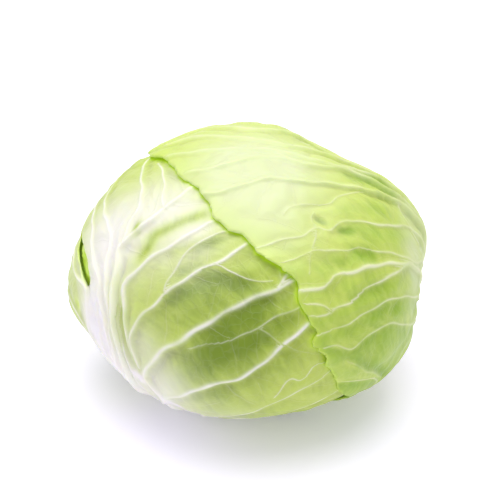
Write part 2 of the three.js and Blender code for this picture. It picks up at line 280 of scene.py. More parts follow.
# %% [markdown]
# The free margin of the right leaf is the first thing the eye finds: it runs from
# the top left down across the front, ragged, lifted here and pressed down there,
# with dark gaps under it. Its bearings were read off the photograph. A search on
# the leaf's map turns them into line numbers and shares, and the last row of the
# blade is then drawn along them.

# %% The free margin of the right leaf
RIGHT_MARGIN = [
    (136, 36), (146, 40), (158.3, 46.8), (169.9, 54.9), (-169.7, 60.3), (-148.7, 60.8), (-140.6, 60.9),
    (-132.9, 60.7), (-126.7, 59.9), (-120.8, 57.8), (-113.8, 54.1), (-108.9, 49.9), (-104.8, 48.3),
    (-99.4, 44.9), (-97.9, 44.4), (-93.6, 44.0), (-90.1, 42.4), (-88.1, 41.0), (-85.7, 38.1),
    (-82.5, 34.9), (-77.9, 31.2), (-74.5, 29.7), (-73.2, 27.4), (-72.7, 23.7), (-72.5, 21.0),
    (-71.5, 18.2), (-70.5, 15.4), (-69.6, 13.2), (-68.3, 11.8), (-69.8, 9.9), (-70.4, 7.7),
    (-69.0, 6.4), (-66.7, 6.2), (-66.9, 3.0), (-67.2, 0.8), (-65.7, -0.9), (-63.4, -4.6),
    (-61.8, -8.0), (-60.1, -12.9),
]


def on_map(table, bearings):
    """Line numbers and shares of some bearings on a leaf's map."""
    line, share = np.meshgrid(np.arange(0, len(table) - 0.99, 0.03), np.arange(0.2, TABLE_END, 0.003),
                              indexing="ij")
    known = directions(table, line, share).reshape(-1, 3)
    best = [int(np.argmax(known @ unit(b, h))) for b, h in bearings]
    return line.ravel()[best], share.ravel()[best]


def ragged(lines, seed, bite):
    """Small notches and scallops of a margin, as a share of the line's length."""
    rng = np.random.default_rng(seed)
    noise = np.zeros_like(lines)
    for waves, size in ((2.3, 1.0), (6.1, 0.7), (15.0, 0.5), (37.0, 0.35)):
        noise += size * np.sin(lines * waves + rng.uniform(0, 6.28) + np.sin(lines * waves * 0.37))
    return bite * noise


margin_lines, margin_shares = on_map(right_table, RIGHT_MARGIN)
order = np.argsort(margin_lines)
margin_lines, margin_shares = margin_lines[order], margin_shares[order]
print("margin runs over lines", margin_lines[0], "to", margin_lines[-1])


def right_margin(line):
    """Share of each line's length at which the right leaf ends."""
    back = 1 - np.clip((line - margin_lines[-1]) / 0.5, 0, 1)
    drawn = np.interp(line, margin_lines, margin_shares)
    return drawn * back + (1 - back) + ragged(line, 5, 0.0022) * (1 + 1.5 * (1 - back))


def left_margin(line):
    return 1 + ragged(line, 9, 0.004)


def under_margin(line):
    return 1 + ragged(line, 13, 0.006)


# How far the margins lift from the leaf below, in millimetres, by line number.
RIGHT_LIFT = [(0, -1.1), (1.5, -1.1), (2.4, -1.0), (2.8, 0.7), (3.2, 0.6), (3.6, -0.8), (4.5, -0.9),
              (5.2, -0.5), (5.8, 0.9), (6.3, 1.4), (6.8, 0.4), (7.1, -0.8), (7.8, -0.9), (8, 0.5),
              (8.2, -0.9), (8.5, -0.9), (8.65, 0.5), (8.8, -0.9), (9.5, -0.8), (10, -0.9), (12, -0.9),
              (12.6, 0.4), (13.2, 0), (14, 1.2), (15, 0.4)]
LEFT_LIFT = [(0, 0.6), (1, -0.3), (2, 0.6), (4, -0.3), (12, 0.0)]
UNDER_LIFT = [(0, 0.5), (8, 0.5)]

# %% [markdown]
# A blade is a thin closed shell. Its outer face has a fine grid, which the ribs
# are raised from; its inner face hardly shows and needs a third of the points
# each way. A wall of triangles joins the two along the margin. Solidify could
# thicken a single sheet, but it would spend as many faces inside as outside.

# %% Blades as closed shells
INSIDE_STEP = 3


def wall_faces(fine, coarse):
    """Triangles between a fine chain of points and one with a third as many."""
    faces = []
    for k in range(len(coarse) - 1):
        o = fine[INSIDE_STEP * k:INSIDE_STEP * (k + 1) + 1]
        i, j = coarse[k], coarse[k + 1]
        faces += [(o[1], o[0], i), (o[2], o[1], i), (o[2], i, j), (o[3], o[2], j)]
    return faces


def chain(rows, corners):
    """Point numbers along a closed run of grid corners."""
    points = []
    for (c0, r0), (c1, r1) in zip(corners, corners[1:]):
        count = max(abs(c1 - c0), abs(r1 - r0))
        for k in range(count):
            points.append((c0 + (c1 - c0) * k // count) * rows + r0 + (r1 - r0) * k // count)
    return [*points, points[0]]


def shell(outer, inner, hole=None):
    """A closed blade: outer (columns, rows, 3), and every third point of inner."""
    wide, rows = outer.shape[:2]
    sparse = inner[::INSIDE_STEP, ::INSIDE_STEP]
    in_wide, in_rows = sparse.shape[:2]
    first = wide * rows

    def quads(columns, count, flip, left_out, offset):
        c, r = np.meshgrid(np.arange(columns - 1), np.arange(count - 1), indexing="ij")
        kept = np.ones(c.shape, bool)
        if left_out:
            c0, c1, r0, r1 = left_out
            kept[c0:c1, r0:r1] = False
        a = (c * count + r)[kept] + offset
        corners = [a, a + count, a + count + 1, a + 1]
        return np.stack(corners[::-1] if flip else corners, 1)

    small = tuple(n // INSIDE_STEP for n in hole) if hole else None
    faces = [tuple(f) for f in quads(wide, rows, False, hole, 0)]
    faces += [tuple(f) for f in quads(in_wide, in_rows, True, small, first)]
    rings = [[(0, 0), (0, rows - 1), (wide - 1, rows - 1), (wide - 1, 0), (0, 0)]]
    if hole:
        c0, c1, r0, r1 = hole
        rings.append([(c0, r0), (c1, r0), (c1, r1), (c0, r1), (c0, r0)])
    for ring in rings:
        fine = chain(rows, ring)
        ring = [(c // INSIDE_STEP, r // INSIDE_STEP) for c, r in ring]
        coarse = [first + n for n in chain(in_rows, ring)]
        faces += wall_faces(fine[::-1], coarse[::-1])
    return np.concatenate([outer.reshape(-1, 3), sparse.reshape(-1, 3)]), faces


def store(mesh, name, kind, values):
    """Stores one value for each point of a mesh."""
    data = mesh.attributes.new(name, kind, "POINT").data
    field = "vector" if kind == "FLOAT_VECTOR" else "value"
    data.foreach_set(field, np.asarray(values, np.float32).ravel())


def new_mesh_object(name, points_mm, edges=(), faces=()):
    mesh = bpy.data.meshes.new(name)
    mesh.from_pydata((points_mm * MM).tolist(), list(edges), [tuple(int(i) for i in f) for f in faces])
    item = bpy.data.objects.new(name, mesh)
    bpy.context.scene.collection.objects.link(item)
    return item


print("blades have 1 inner point for", INSIDE_STEP**2, "outer ones")

# %% [markdown]
# A vein on a leaf is a line with a width. Each route here is a list of bearings,
# read off the photograph where it shows and carried on where it doesn't,
# with the rib's half width in millimetres at its start and end, and how white it
# is. The thick ones start at the stalk, so the base of the left leaf becomes the
# bundle of white ridges that the photograph shows at the lower left.

# %% Ribs drawn one by one
RIGHT_RIBS = {
    "rib_low": ([(-45, -68), (-13, -36), (-14, -12), (-23, -5), (-32.2, 0.1), (-39.7, 4.4), (-46.5, 5.7),
                 (-51.9, 5.4), (-55, 4.6), (-57.9, 3.9), (-63.1, 6.3), (-67.1, 6.7)], 1.65, 0.63, 0.64),
    "rib_third": ([(-20, -66), (-7, -34), (-9, -8), (-20, 3), (-30.7, 8.7), (-39.3, 12.1), (-46.2, 13),
                   (-53.1, 12.4), (-58.6, 11.4), (-63.6, 10.9), (-69, 10.8)], 1.65, 0.57, 0.64),
    "rib_first": ([(-8, -63), (-3, -32), (-5, -4), (-15.5, 9.5), (-24.3, 16.7), (-33.2, 21.7), (-43.9, 24.7),
                   (-50, 25), (-57.6, 26.2), (-62, 24.9), (-64.6, 24.3), (-73, 24.4)], 2.1, 1.0, 0.95),
    "rib_second": ([(-19, 12.4), (-24, 16.4), (-30, 17.9), (-39.8, 18.8), (-47.9, 18.7), (-53.2, 17.8),
                    (-55.9, 17.2), (-61.7, 17.3), (-64, 16.7), (-71, 16.3)], 1.12, 0.8, 0.8),
    "rib_second_fork": ([(-62.6, 17.1), (-63.9, 17.4), (-65.1, 18.9), (-67.5, 20.1),
                         (-71.5, 20.4)], 0.68, 0.57, 0.72),
    "rib_mid": ([(2, -61), (1, -30), (-1, 0), (-8, 9), (-18.8, 14.5), (-24.6, 19.9), (-33, 25.8),
                 (-39.8, 29.1), (-44.2, 31.2), (-50.3, 32.1), (-56.5, 34), (-61.9, 35.8), (-67.8, 34.8),
                 (-78, 33.2)], 1.8, 0.57, 0.64),
    "rib_upper": ([(10, -59), (4, -28), (2, 3), (-3, 14), (-10.6, 24.5), (-23.2, 31.3), (-31.6, 36.3),
                   (-37.2, 39.4), (-41, 41), (-46.7, 40.9), (-51.7, 40.3), (-53.8, 41.1), (-55.9, 42.6),
                   (-59.8, 41.9), (-64.5, 40.9), (-70.3, 41), (-77.5, 40.7), (-86, 39)], 1.8, 0.65, 0.7),
    "upright": ([(-57, 42.6), (-59.8, 39.2), (-62.9, 36), (-66, 33), (-68, 29)], 0.6, 0.57, 0.56),
    "crease_high": ([(-69.1, 50.3), (-65.2, 52.4), (-57.8, 52.5), (-47.1, 50.4), (-39.3, 49), (-31.5, 48.8),
                     (-24.2, 47.4), (-14, 43)], 0.7, 0.6, 0.55),
    "crumple_lip": ([(-55.9, 42.6), (-56.6, 44.4), (-55.7, 46.8), (-53, 48)], 0.6, 0.5, 0.4),
    "rib_fifth": ([(18, -57), (7, -26), (5, 5), (1, 26), (-8, 40), (-21.5, 51), (-43.8, 61.7), (-65.5, 67.7),
                   (-86, 66.2), (-109.4, 61), (-121, 58)], 3.0, 1.5, 0.5),
    "rib_fourth": ([(6, 12), (4, 34), (0.7, 50.7), (-14.8, 63.2), (-21, 72.7), (-45, 80.8), (-108, 79.8),
                    (-133, 71.5), (-150, 63)], 2.2, 1.6, 0.6),
    "rib_top_third": ([(26, -55), (11, -25), (8, 6), (12, 24), (12, 36.2), (0, 53.8), (-6, 68.6), (-3, 83.4),
                       (-178, 82), (179, 72), (170, 58)], 2.4, 1.6, 0.6),
    "rib_top_second": ([(34, -54), (15, -24), (12, 7), (17, 24), (20.9, 37.8), (19, 56.6), (22, 72.4),
                        (55, 80), (119, 77.4), (137, 65.3), (149, 52)], 2.2, 1.5, 0.6),
    "rib_top_first": ([(42, -53), (20, -24), (17, 7), (22, 24), (32, 37.6), (46, 52), (62, 66), (85, 69.9),
                       (109.5, 64), (125, 52), (140, 42)], 2.1, 1.4, 0.55),
    "rib_back_first": ([(52, -52), (27, -24), (26, 5), (42, 25), (68, 38), (105, 42),
                        (136, 34)], 1.95, 0.8, 0.72),
    "rib_back_second": ([(64, -51), (38, -25), (42, 0), (62, 14), (90, 21), (122, 17)], 1.8, 0.8, 0.72),
    "rib_back_third": ([(80, -52), (58, -30), (68, -8), (92, 0), (114, -1)], 1.65, 0.69, 0.72),
    "rib_back_last": ([(94, -54), (76, -36), (84, -18), (111, -10)], 1.35, 0.69, 0.72),
    "low_fold": ([(-59.5, -0.4), (-53.8, -5.2), (-45.3, -12), (-38, -20)], 0.52, 1.03, 0.32),
    "rib_under": ([(-84, -72), (-46, -52), (-35, -35), (-38, -22), (-50, -12), (-62, -7)], 1.35, 0.57, 0.64),
    "right_streak": ([(14, 20), (6, 27), (-4.4, 27), (-7.4, 20.7), (-8, 15.4)], 1.05, 1.03, 0.56),
}
LEFT_RIBS = {
    "rib_lowest": ([(-121, -38), (-119.6, -26), (-119.1, -18.9), (-108.9, -10), (-101.3, -4.9),
                    (-92.1, -0.8), (-89.3, 1.2), (-86.1, 3.7), (-81.5, 7.2), (-76.8, 10.4), (-71.6, 13.7),
                    (-60, 18)], 1.77, 1.1, 0.9),
    "rib_first": ([(-124.4, -12), (-123.4, -7.4), (-119.7, -0.8), (-115.3, 4.5), (-109.2, 9.5),
                   (-104.3, 14.1), (-100.2, 17), (-95, 20), (-89.7, 22.4), (-85, 24), (-80.1, 25.7),
                   (-74.3, 27.5), (-62, 30)], 1.5, 1.27, 0.9),
    "rib_first_fork": ([(-79.5, 26.1), (-78.3, 26.9), (-75.3, 29.2), (-72, 31)], 0.82, 0.85, 0.9),
    "rib_second": ([(-124.6, -9), (-125.2, -4), (-126.1, -0.2), (-127.2, 4.2), (-126.5, 8.6), (-124.2, 13.4),
                    (-121.7, 16.3), (-118.4, 21.1), (-113.5, 25.6), (-109.3, 29.4), (-103.7, 32.9),
                    (-97.5, 36.2), (-89.5, 41.3), (-76, 47)], 1.09, 1.02, 0.85),
    "rib_second_branch": ([(-118.2, 20.8), (-118.6, 24.5), (-117.6, 28.8), (-115.7, 33.9), (-110.8, 39.8),
                           (-105.9, 42.5), (-98, 46)], 0.61, 0.77, 0.63),
    "rib_fourth": ([(-130, -38), (-125, -29), (-120.4, -21), (-122.2, -10.9), (-125.2, -5.9),
                    (-127.8, -0.4), (-129.7, 6.3), (-131.8, 12.6), (-134.2, 18.1), (-133.7, 21),
                    (-132.7, 22.8), (-129.1, 29.7), (-124.4, 35), (-118.2, 40.6), (-111.2, 46.3),
                    (-104, 50), (-90, 56)], 2.04, 1.02, 0.85),
    "midrib": ([(-135, -38), (-133.5, -26), (-131.6, -17.4), (-131.1, -9.1), (-132.2, -2), (-133.9, 4.3),
                (-136.9, 13.3), (-141.5, 22.8), (-145.2, 28), (-144.6, 30.7), (-143.6, 33.7), (-140.5, 40.5),
                (-138.5, 49.4), (-134.9, 61.6), (-118, 66)], 2.99, 1.36, 0.9),
    "rib_rear": ([(-145.4, 29.5), (-146.8, 32.2), (-149.7, 36.4), (-153.2, 41.9), (-162.8, 45.6),
                  (-176.1, 46.3), (164.8, 45.9), (156, 46)], 1.02, 0.68, 0.81),
    "rib_left_first": ([(-138, -38), (-135.5, -20), (-135, -6), (-135.6, 2), (-137.6, 9), (-140.1, 12.5),
                        (-142.9, 15.5), (-146.9, 20.5), (-151.1, 26.5), (-155.5, 29.5), (-162.1, 29.8),
                        (176.7, 30.2), (152, 32)], 2.04, 0.68, 0.9),
    "rib_left_second": ([(-140, -38), (-137, -18), (-136, -7), (-137, 1), (-140, 6), (-144.5, 11),
                         (-147, 15), (-152.1, 18.1), (-158.6, 20.1), (-168.4, 23.3), (-176.8, 24.1),
                         (168, 24), (150, 22)], 1.9, 0.68, 0.9),
    "rib_left_third": ([(-147, -38), (-145, -16), (-149.2, -3), (-149.8, 4.4), (-152.6, 8.8), (-157.9, 9.6),
                        (-164.9, 8.4), (-173.5, 9.6), (172, 9), (150, 7)], 1.77, 0.68, 0.9),
    "rib_left_fourth": ([(-152, -40), (-150, -18), (-155, -7), (-166, -3), (178, -4),
                         (150, -6)], 1.5, 0.59, 0.81),
    "rib_left_fifth": ([(-160, -42), (-160, -26), (-170, -16), (174, -13), (150, -12)], 1.36, 0.59, 0.81),
    "base_ridge": ([(-143, -38), (-140, -20), (-141, -6), (-142.5, 3), (-145.5, 9)], 1.63, 0.77, 0.9),
    "base_ridge_front": ([(-128, -38), (-126.5, -24), (-128.5, -14), (-130, -4), (-132.3, 5),
                          (-134, 12)], 1.09, 0.68, 0.9),
    "rib_front": ([(-112, -44), (-108, -33), (-97.8, -24.5), (-89, -19.4), (-82.1, -13.7), (-74, -8),
                   (-60, 0)], 1.36, 0.59, 0.63),
    "cross": ([(-106.4, 31.4), (-101.1, 33.2), (-95.6, 31.5), (-90.2, 28.9), (-85.8, 28.2),
               (-81.4, 28)], 0.41, 0.51, 0.63),
    "low_vein": ([(-107, 7), (-101.8, 8.7), (-95.9, 10.7), (-90.5, 13.1), (-85.8, 15.3), (-80, 17.6),
                  (-73.8, 19.1), (-66, 21)], 0.6, 0.65, 0.42),
    "low_vein_fork": ([(-86.6, 14.8), (-85.8, 14.2), (-82.7, 12.2), (-79, 8.8)], 0.55, 0.55, 0.36),
    "rib_low_fork": ([(-82, -9.5), (-77, -2.7), (-74.6, -3.7), (-72.7, -3), (-69.5, 0.7),
                      (-66.5, 1.2)], 0.54, 0.5, 0.63),
    "rib_base_front": ([(-108, -46), (-96, -38), (-84, -29), (-68, -19), (-50, -9)], 1.22, 0.59, 0.72),
    "rib_base_last": ([(-103, -53), (-77, -39), (-54, -26), (-38, -14)], 1.09, 0.51, 0.72),
    "upper_left": ([(-139, 47), (-146, 50), (-158, 54), (-176, 55), (170, 53)], 0.68, 0.68, 0.72),
}
print(len(RIGHT_RIBS), "ribs on the right leaf and", len(LEFT_RIBS), "on the left leaf")

# %% [markdown]
# From every rib, side veins leave towards the margin at a slant, bend along and
# stop when they meet the next rib. Drawing hundreds of them by hand would take a
# day, so they are grown: each one walks over the head in short steps from a
# seeded start, and a search tree tells it when another rib is near.

# %% Grow the side veins
STEP_MM = 1.0
VEIN_SPACING_MM = 12.0
VEIN_REACH_MM = 30
VEIN_SLANT = (42, 66)
VEIN_WHITENESS = (0.12, 0.34)
FEWEST_RIB_POINTS = 25
# A vein ends this near to another rib, and each small cube of the head holds one vein.
MEETING_MM = 1.2
CUBE_MM = 2.5


def wandering(dirs, first, size=1.0):
    """No rib runs quite straight: it wanders a third of a millimetre or so."""
    along = np.arange(len(dirs))
    wander = 0.35 * np.sin(along / 2.9 + first) + 0.4 * np.sin(along / 7.3 + 2 * first)
    slow = (size - 1) * np.sin(along / 17 + 3 * first)
    aside = normalised(np.cross(np.gradient(dirs, axis=0), dirs))
    return normalised(dirs + aside * ((wander + slow) / 95)[:, None])


def rib_path(bearings, depth, swell_share=1.0):
    """Points of a rib about a millimetre apart, on its leaf's outer face."""
    path = smooth_path([unit(b, h) for b, h in bearings])
    length = np.linalg.norm(np.diff(place(normalised(path), depth), axis=0), axis=1).sum()
    dirs = normalised(at_shares(path, np.linspace(0, 1, max(4, int(length)))))
    return place(wandering(dirs, bearings[0][0] + bearings[-1][1]), depth, 0.0, swell_share)


def tree_of(points):
    tree = KDTree(len(points))
    for k, point in enumerate(points):
        tree.insert(point, k)
    tree.balance()
    return tree


def grow_veins(ribs, depth, seed, swell_share=1.0, spacing=VEIN_SPACING_MM, sparse=0.0):
    """Side veins as (points, half width at start and end, whiteness)."""
    rng = np.random.default_rng(seed)
    taken = {}
    owner = np.concatenate([np.full(len(path), k) for k, (path, *_) in enumerate(ribs)])
    tree = tree_of(np.concatenate([path for path, *_ in ribs]))
    veins = []
    for number, (path, wide, thin, white) in enumerate(ribs):
        if len(path) < FEWEST_RIB_POINTS:
            continue
        for side in (1, -1):
            at = rng.uniform(0.6, 1.4) * spacing
            while at < len(path) - 5:
                k = int(at)
                at += spacing * rng.uniform(0.7, 1.35)
                if rng.random() < sparse:
                    continue
                outward = normalised(path[k] - HEAD_CENTRE)
                along = normalised(path[k + 3] - path[k])
                across = np.cross(outward, along) * side
                slant = math.radians(rng.uniform(*VEIN_SLANT))
                heading = along * math.cos(slant) + across * math.sin(slant)
                drift = rng.uniform(-0.02, 0.035)
                wobble = rng.uniform(0, 6.28, 2)
                here = path[k]
                run = [here]
                for n in range(int(VEIN_REACH_MM * rng.uniform(0.6, 1.3))):
                    turn = drift + 0.07 * math.sin(n * 0.55 + wobble[0])
                    turn += 0.05 * math.sin(n * 1.3 + wobble[1])
                    outward = normalised(here - HEAD_CENTRE)
                    heading = heading + turn * np.cross(outward, heading)
                    heading = normalised(heading - outward * (heading @ outward))
                    here = place(normalised(here + STEP_MM * heading - HEAD_CENTRE), depth, 0.0, swell_share)
                    run.append(here)
                    _, near, gap = tree.find(here)
                    if n > 4 and gap < MEETING_MM and owner[near] != number:
                        break
                    if taken.get(tuple((here // CUBE_MM).astype(int)), len(veins)) != len(veins):
                        break
                for point in run:
                    taken.setdefault(tuple((point // CUBE_MM).astype(int)), len(veins))
                start = wide + (thin - wide) * k / len(path)
                size = min(0.75, 0.4 * start + 0.12) * rng.uniform(0.8, 1.15)
                veins.append((np.array(run), size, 0.3, white * rng.uniform(*VEIN_WHITENESS)))
    return veins


def vein_object(name, routes):
    """Vein routes as one mesh of edges, with width, whiteness and side stored on it."""
    points, edges, sizes, whites, sides = [], [], [], [], []
    for path, wide, thin, white in routes:
        first = len(sizes)
        share = np.linspace(0, 1, len(path))
        number = np.arange(len(path))
        swelling = 1 + 0.14 * np.sin(number / 4.1 + wide * 9) * np.sin(number / 9.7)
        sizes.extend((thin + (wide - thin) * (1 - share) ** 1.5) * swelling)
        whites.extend(np.full(len(path), white))
        heading = np.gradient(path, axis=0)
        sides.extend(normalised(np.cross(heading, path - HEAD_CENTRE)))
        points.extend(path)
        edges.extend((first + k, first + k + 1) for k in range(len(path) - 1))
    item = new_mesh_object(name, np.array(points), edges=edges)
    store(item.data, "half_width", "FLOAT", np.array(sizes) * MM)
    store(item.data, "whiteness", "FLOAT", whites)
    store(item.data, "low_side", "FLOAT_VECTOR", sides)
    return item


def hand_routes(ribs, depth, swell_share=1.0):
    return [(rib_path(bearings, depth, swell_share), wide, thin, white)
            for bearings, wide, thin, white in ribs.values()]


right_routes = hand_routes(RIGHT_RIBS, 0.0)
left_routes = hand_routes(LEFT_RIBS, PITCH)
right_veins = grow_veins(right_routes, 0.0, seed=3, sparse=0.5)
left_veins = grow_veins(left_routes, PITCH, seed=8, sparse=0.45)
print(len(right_veins), "side veins on the right leaf and", len(left_veins), "on the left")

# %% [markdown]
# Geometry Nodes raise the veins. For every point of a blade, one node finds the
# nearest place on the ribs and others read the rib's width there. A bell-shaped
# curve of the distance gives the ridge, a second wider one its shoulder, and a
# one-sided one the fold beside it. Sculpting each ridge would look as good, but a
# rule treats two hundred veins alike and can be tuned with a few named numbers.

# %% Functions that add nodes
def add(tree, kind, settings=None, links=None):
    """Adds a node; settings are its properties, links its inputs by name or number."""
    node = tree.nodes.new(kind)
    for name, value in (settings or {}).items():
        setattr(node, name, value)
    for name, value in (links or {}).items():
        if isinstance(value, bpy.types.NodeSocket):
            tree.links.new(value, node.inputs[name])
        else:
            node.inputs[name].default_value = value
    return node


def operate(tree, kind, steps, values):
    """Adds a run of maths nodes. A step is (result, operation, names or numbers)."""
    for result, operation, *sources in steps:
        links = {k: values[s] if isinstance(s, str) else s for k, s in enumerate(sources)}
        node = add(tree, kind, {"operation": operation}, links)
        scalar = operation in ("LENGTH", "DOT_PRODUCT", "DISTANCE")
        values[result] = node.outputs["Value" if scalar or kind == "ShaderNodeMath" else "Vector"]


print("nodes are added by", add.__name__, "and runs of maths by", operate.__name__)

# %% [markdown]
# All sizes of the relief are inputs of the tree, in metres or as shares of a rib's
# width. One tree then serves all five leaves, each with its own numbers.

# %% Sizes that the tree takes
RELIEF_INPUTS = {
    "Ribs": ("NodeSocketObject", None),
    "Side veins": ("NodeSocketObject", None),
    "Rib height": ("NodeSocketFloat", 0.8),
    "Shoulder height": ("NodeSocketFloat", 0.0004),
    "Shoulder width": ("NodeSocketFloat", 0.0035),
    "Fold depth": ("NodeSocketFloat", 0.0008),
    "Fold width": ("NodeSocketFloat", 0.004),
    "Fold side": ("NodeSocketFloat", 1.0),
    "Side vein height": ("NodeSocketFloat", 0.4),
    "Pillow height": ("NodeSocketFloat", 0.0004),
    "Pillow width": ("NodeSocketFloat", 0.004),
    "Wave height": ("NodeSocketFloat", 0.0012),
    "Wave scale": ("NodeSocketFloat", 22.0),
    "Crinkle height": ("NodeSocketFloat", 0.0007),
    "Crinkle scale": ("NodeSocketFloat", 75.0),
    "Seed": ("NodeSocketFloat", 1.0),
    "Wrinkle height": ("NodeSocketFloat", 0.00045),
    "Wrinkle spacing": ("NodeSocketFloat", 0.0035),
    "Wrinkle length": ("NodeSocketFloat", 0.016),
    "Mesh allowance": ("NodeSocketFloat", 0.0007),
    "Softening steps": ("NodeSocketInt", 9),
    "Lowest point": ("NodeSocketFloat", 0.0),
    "Finish": ("NodeSocketMaterial", None),
}


def read(tree, name, kind="FLOAT"):
    """What is stored on the points of a mesh under a name."""
    node = add(tree, "GeometryNodeInputNamedAttribute", {"data_type": kind}, {"Name": name})
    return node.outputs["Attribute"]


print("the tree takes", len(RELIEF_INPUTS), "inputs")

# %% [markdown]
# First the tree asks where the nearest rib and the nearest side vein are, on which
# side of it the point lies, and how wide it is there. The width turns a distance
# into a bell curve, which is a rib's true cross-section, soft at its foot.

# %% How far the nearest rib is
def rib_distances(tree, value):
    # Distance to the nearest rib and side vein, and what is stored there.
    for label, source in (("rib", "Ribs"), ("vein", "Side veins")):
        lines = add(tree, "GeometryNodeObjectInfo", None, {"Object": value[source]}).outputs["Geometry"]
        nearest = add(tree, "GeometryNodeProximity", {"target_element": "EDGES"}, {"Geometry": lines})
        value[label + "_gap"] = nearest.outputs["Distance"]
        value[label + "_foot"] = nearest.outputs["Position"]
        nearby = add(tree, "GeometryNodeSampleNearest", {"domain": "POINT"}, {"Geometry": lines})
        for field, kind in (("half_width", "FLOAT"), ("whiteness", "FLOAT"), ("low_side", "FLOAT_VECTOR")):
            sample = add(tree, "GeometryNodeSampleIndex", {"data_type": kind, "domain": "POINT"}, {
                "Geometry": lines, "Value": read(tree, field, kind), "Index": nearby.outputs["Index"]})
            value[f"{label}_{field}"] = sample.outputs["Value"]
    for label in ("rib", "vein"):
        operate(tree, "ShaderNodeVectorMath", [
            ("from_foot", "SUBTRACT", "here", label + "_foot"),
            (label + "_aside", "DOT_PRODUCT", "from_foot", label + "_low_side"),
        ], value)
        operate(tree, "ShaderNodeMath", [
            ("side_sign", "SIGN", label + "_aside"),
            ("signed_gap", "MULTIPLY", "side_sign", label + "_gap"),
            (label + "_across", "DIVIDE", "signed_gap", label + "_half_width"),
            ("sure_gap", "SUBTRACT", label + "_gap", "Mesh allowance"),
            (label + "_far", "DIVIDE", "sure_gap", label + "_half_width"),
            ("ratio", "DIVIDE", label + "_gap", label + "_half_width"),
            ("square", "MULTIPLY", "ratio", "ratio"),
            ("minus", "MULTIPLY", "square", -1.0),
            (label + "_bell", "EXPONENT", "minus"),
            (label + "_ridge", "MULTIPLY", label + "_bell", label + "_half_width"),
        ], value)


print("distances are counted in half widths of the rib")

# %% [markdown]
# A rib swells the skin beside it on both sides and pulls a fold along one of them.
# Between the veins the skin rises a little as on a quilt. In the photograph the
# folds lie on the lower side of the ribs, so the side is an input of the tree.

# %% Ridges, folds and pillows
FOLD_FADE = 0.7


def ridges_and_folds(tree, value):
    operate(tree, "ShaderNodeMath", [
        ("rib_up", "MULTIPLY", "rib_ridge", "Rib height"),
        ("vein_up", "MULTIPLY", "vein_ridge", "Side vein height"),
        ("ridges", "MAXIMUM", "rib_up", "vein_up"),
        ("rib_size", "DIVIDE", "rib_half_width", 0.0015),
        ("rib_share", "MINIMUM", "rib_size", 1.4),
        ("shoulder_ratio", "DIVIDE", "rib_gap", "Shoulder width"),
        ("shoulder_square", "MULTIPLY", "shoulder_ratio", "shoulder_ratio"),
        ("shoulder_minus", "MULTIPLY", "shoulder_square", -1.0),
        ("shoulder_bell", "EXPONENT", "shoulder_minus"),
        ("shoulder_tall", "MULTIPLY", "shoulder_bell", "Shoulder height"),
        ("shoulder", "MULTIPLY", "shoulder_tall", "rib_share"),
        ("halo", "MULTIPLY", "shoulder_bell", "rib_whiteness"),
        ("fold_way", "MULTIPLY", "rib_aside", "Fold side"),
        ("fold_far", "DIVIDE", "fold_way", "Fold width"),
        ("fold_reach", "MAXIMUM", "fold_far", 0.0),
        ("fold_square", "MULTIPLY", "fold_reach", "fold_reach"),
        ("fold_half", "MULTIPLY", "fold_square", -0.5),
        ("fold_bell", "EXPONENT", "fold_half"),
        ("fold_shape", "MULTIPLY", "fold_reach", "fold_bell"),
        ("fold_sized", "MULTIPLY", "fold_shape", "rib_share"),
    ], value)
    # Halfway between two ribs the nearest one changes, so what belongs to a rib is
    # averaged over its neighbour points there, or the blade would show a step.
    for name in ("fold_shape", "fold_sized", "halo", "shoulder"):
        value[name] = add(tree, "GeometryNodeBlurAttribute", {"data_type": "FLOAT"},
                          {"Value": value[name], "Iterations": value["Softening steps"]}).outputs["Value"]
    operate(tree, "ShaderNodeMath", [
        ("pale_less", "MULTIPLY", "pale", -FOLD_FADE),
        ("thin_share", "ADD", "pale_less", 1.0),
        ("fold_thin", "MULTIPLY", "fold_sized", "thin_share"),
        ("fold_deep", "MULTIPLY", "fold_thin", "Fold depth"),
        ("fold", "MULTIPLY", "fold_deep", 1.65),
        ("vein_or_rib", "MINIMUM", "rib_gap", "vein_gap"),
        ("pillow_ratio", "DIVIDE", "vein_or_rib", "Pillow width"),
        ("pillow_square", "MULTIPLY", "pillow_ratio", "pillow_ratio"),
        ("pillow_minus", "MULTIPLY", "pillow_square", -1.0),
        ("pillow_bell", "EXPONENT", "pillow_minus"),
        ("pillow_rest", "SUBTRACT", 1.0, "pillow_bell"),
        ("pillow", "MULTIPLY", "pillow_rest", "Pillow height"),
        ("raised", "ADD", "ridges", "shoulder"),
        ("quilted", "ADD", "raised", "pillow"),
        ("folded", "SUBTRACT", "quilted", "fold"),
        ("skinned", "MULTIPLY", "folded", "skin"),
    ], value)


print("folds lose", FOLD_FADE, "of their depth on pale skin")

# %% [markdown]
# No leaf is as smooth as a ball. Broad waves and fine crinkles come from noise on
# the points' places, and wrinkles from noise on the leaf's own map, so that they
# lie across its lines as they do where a leaf was bent while it grew.

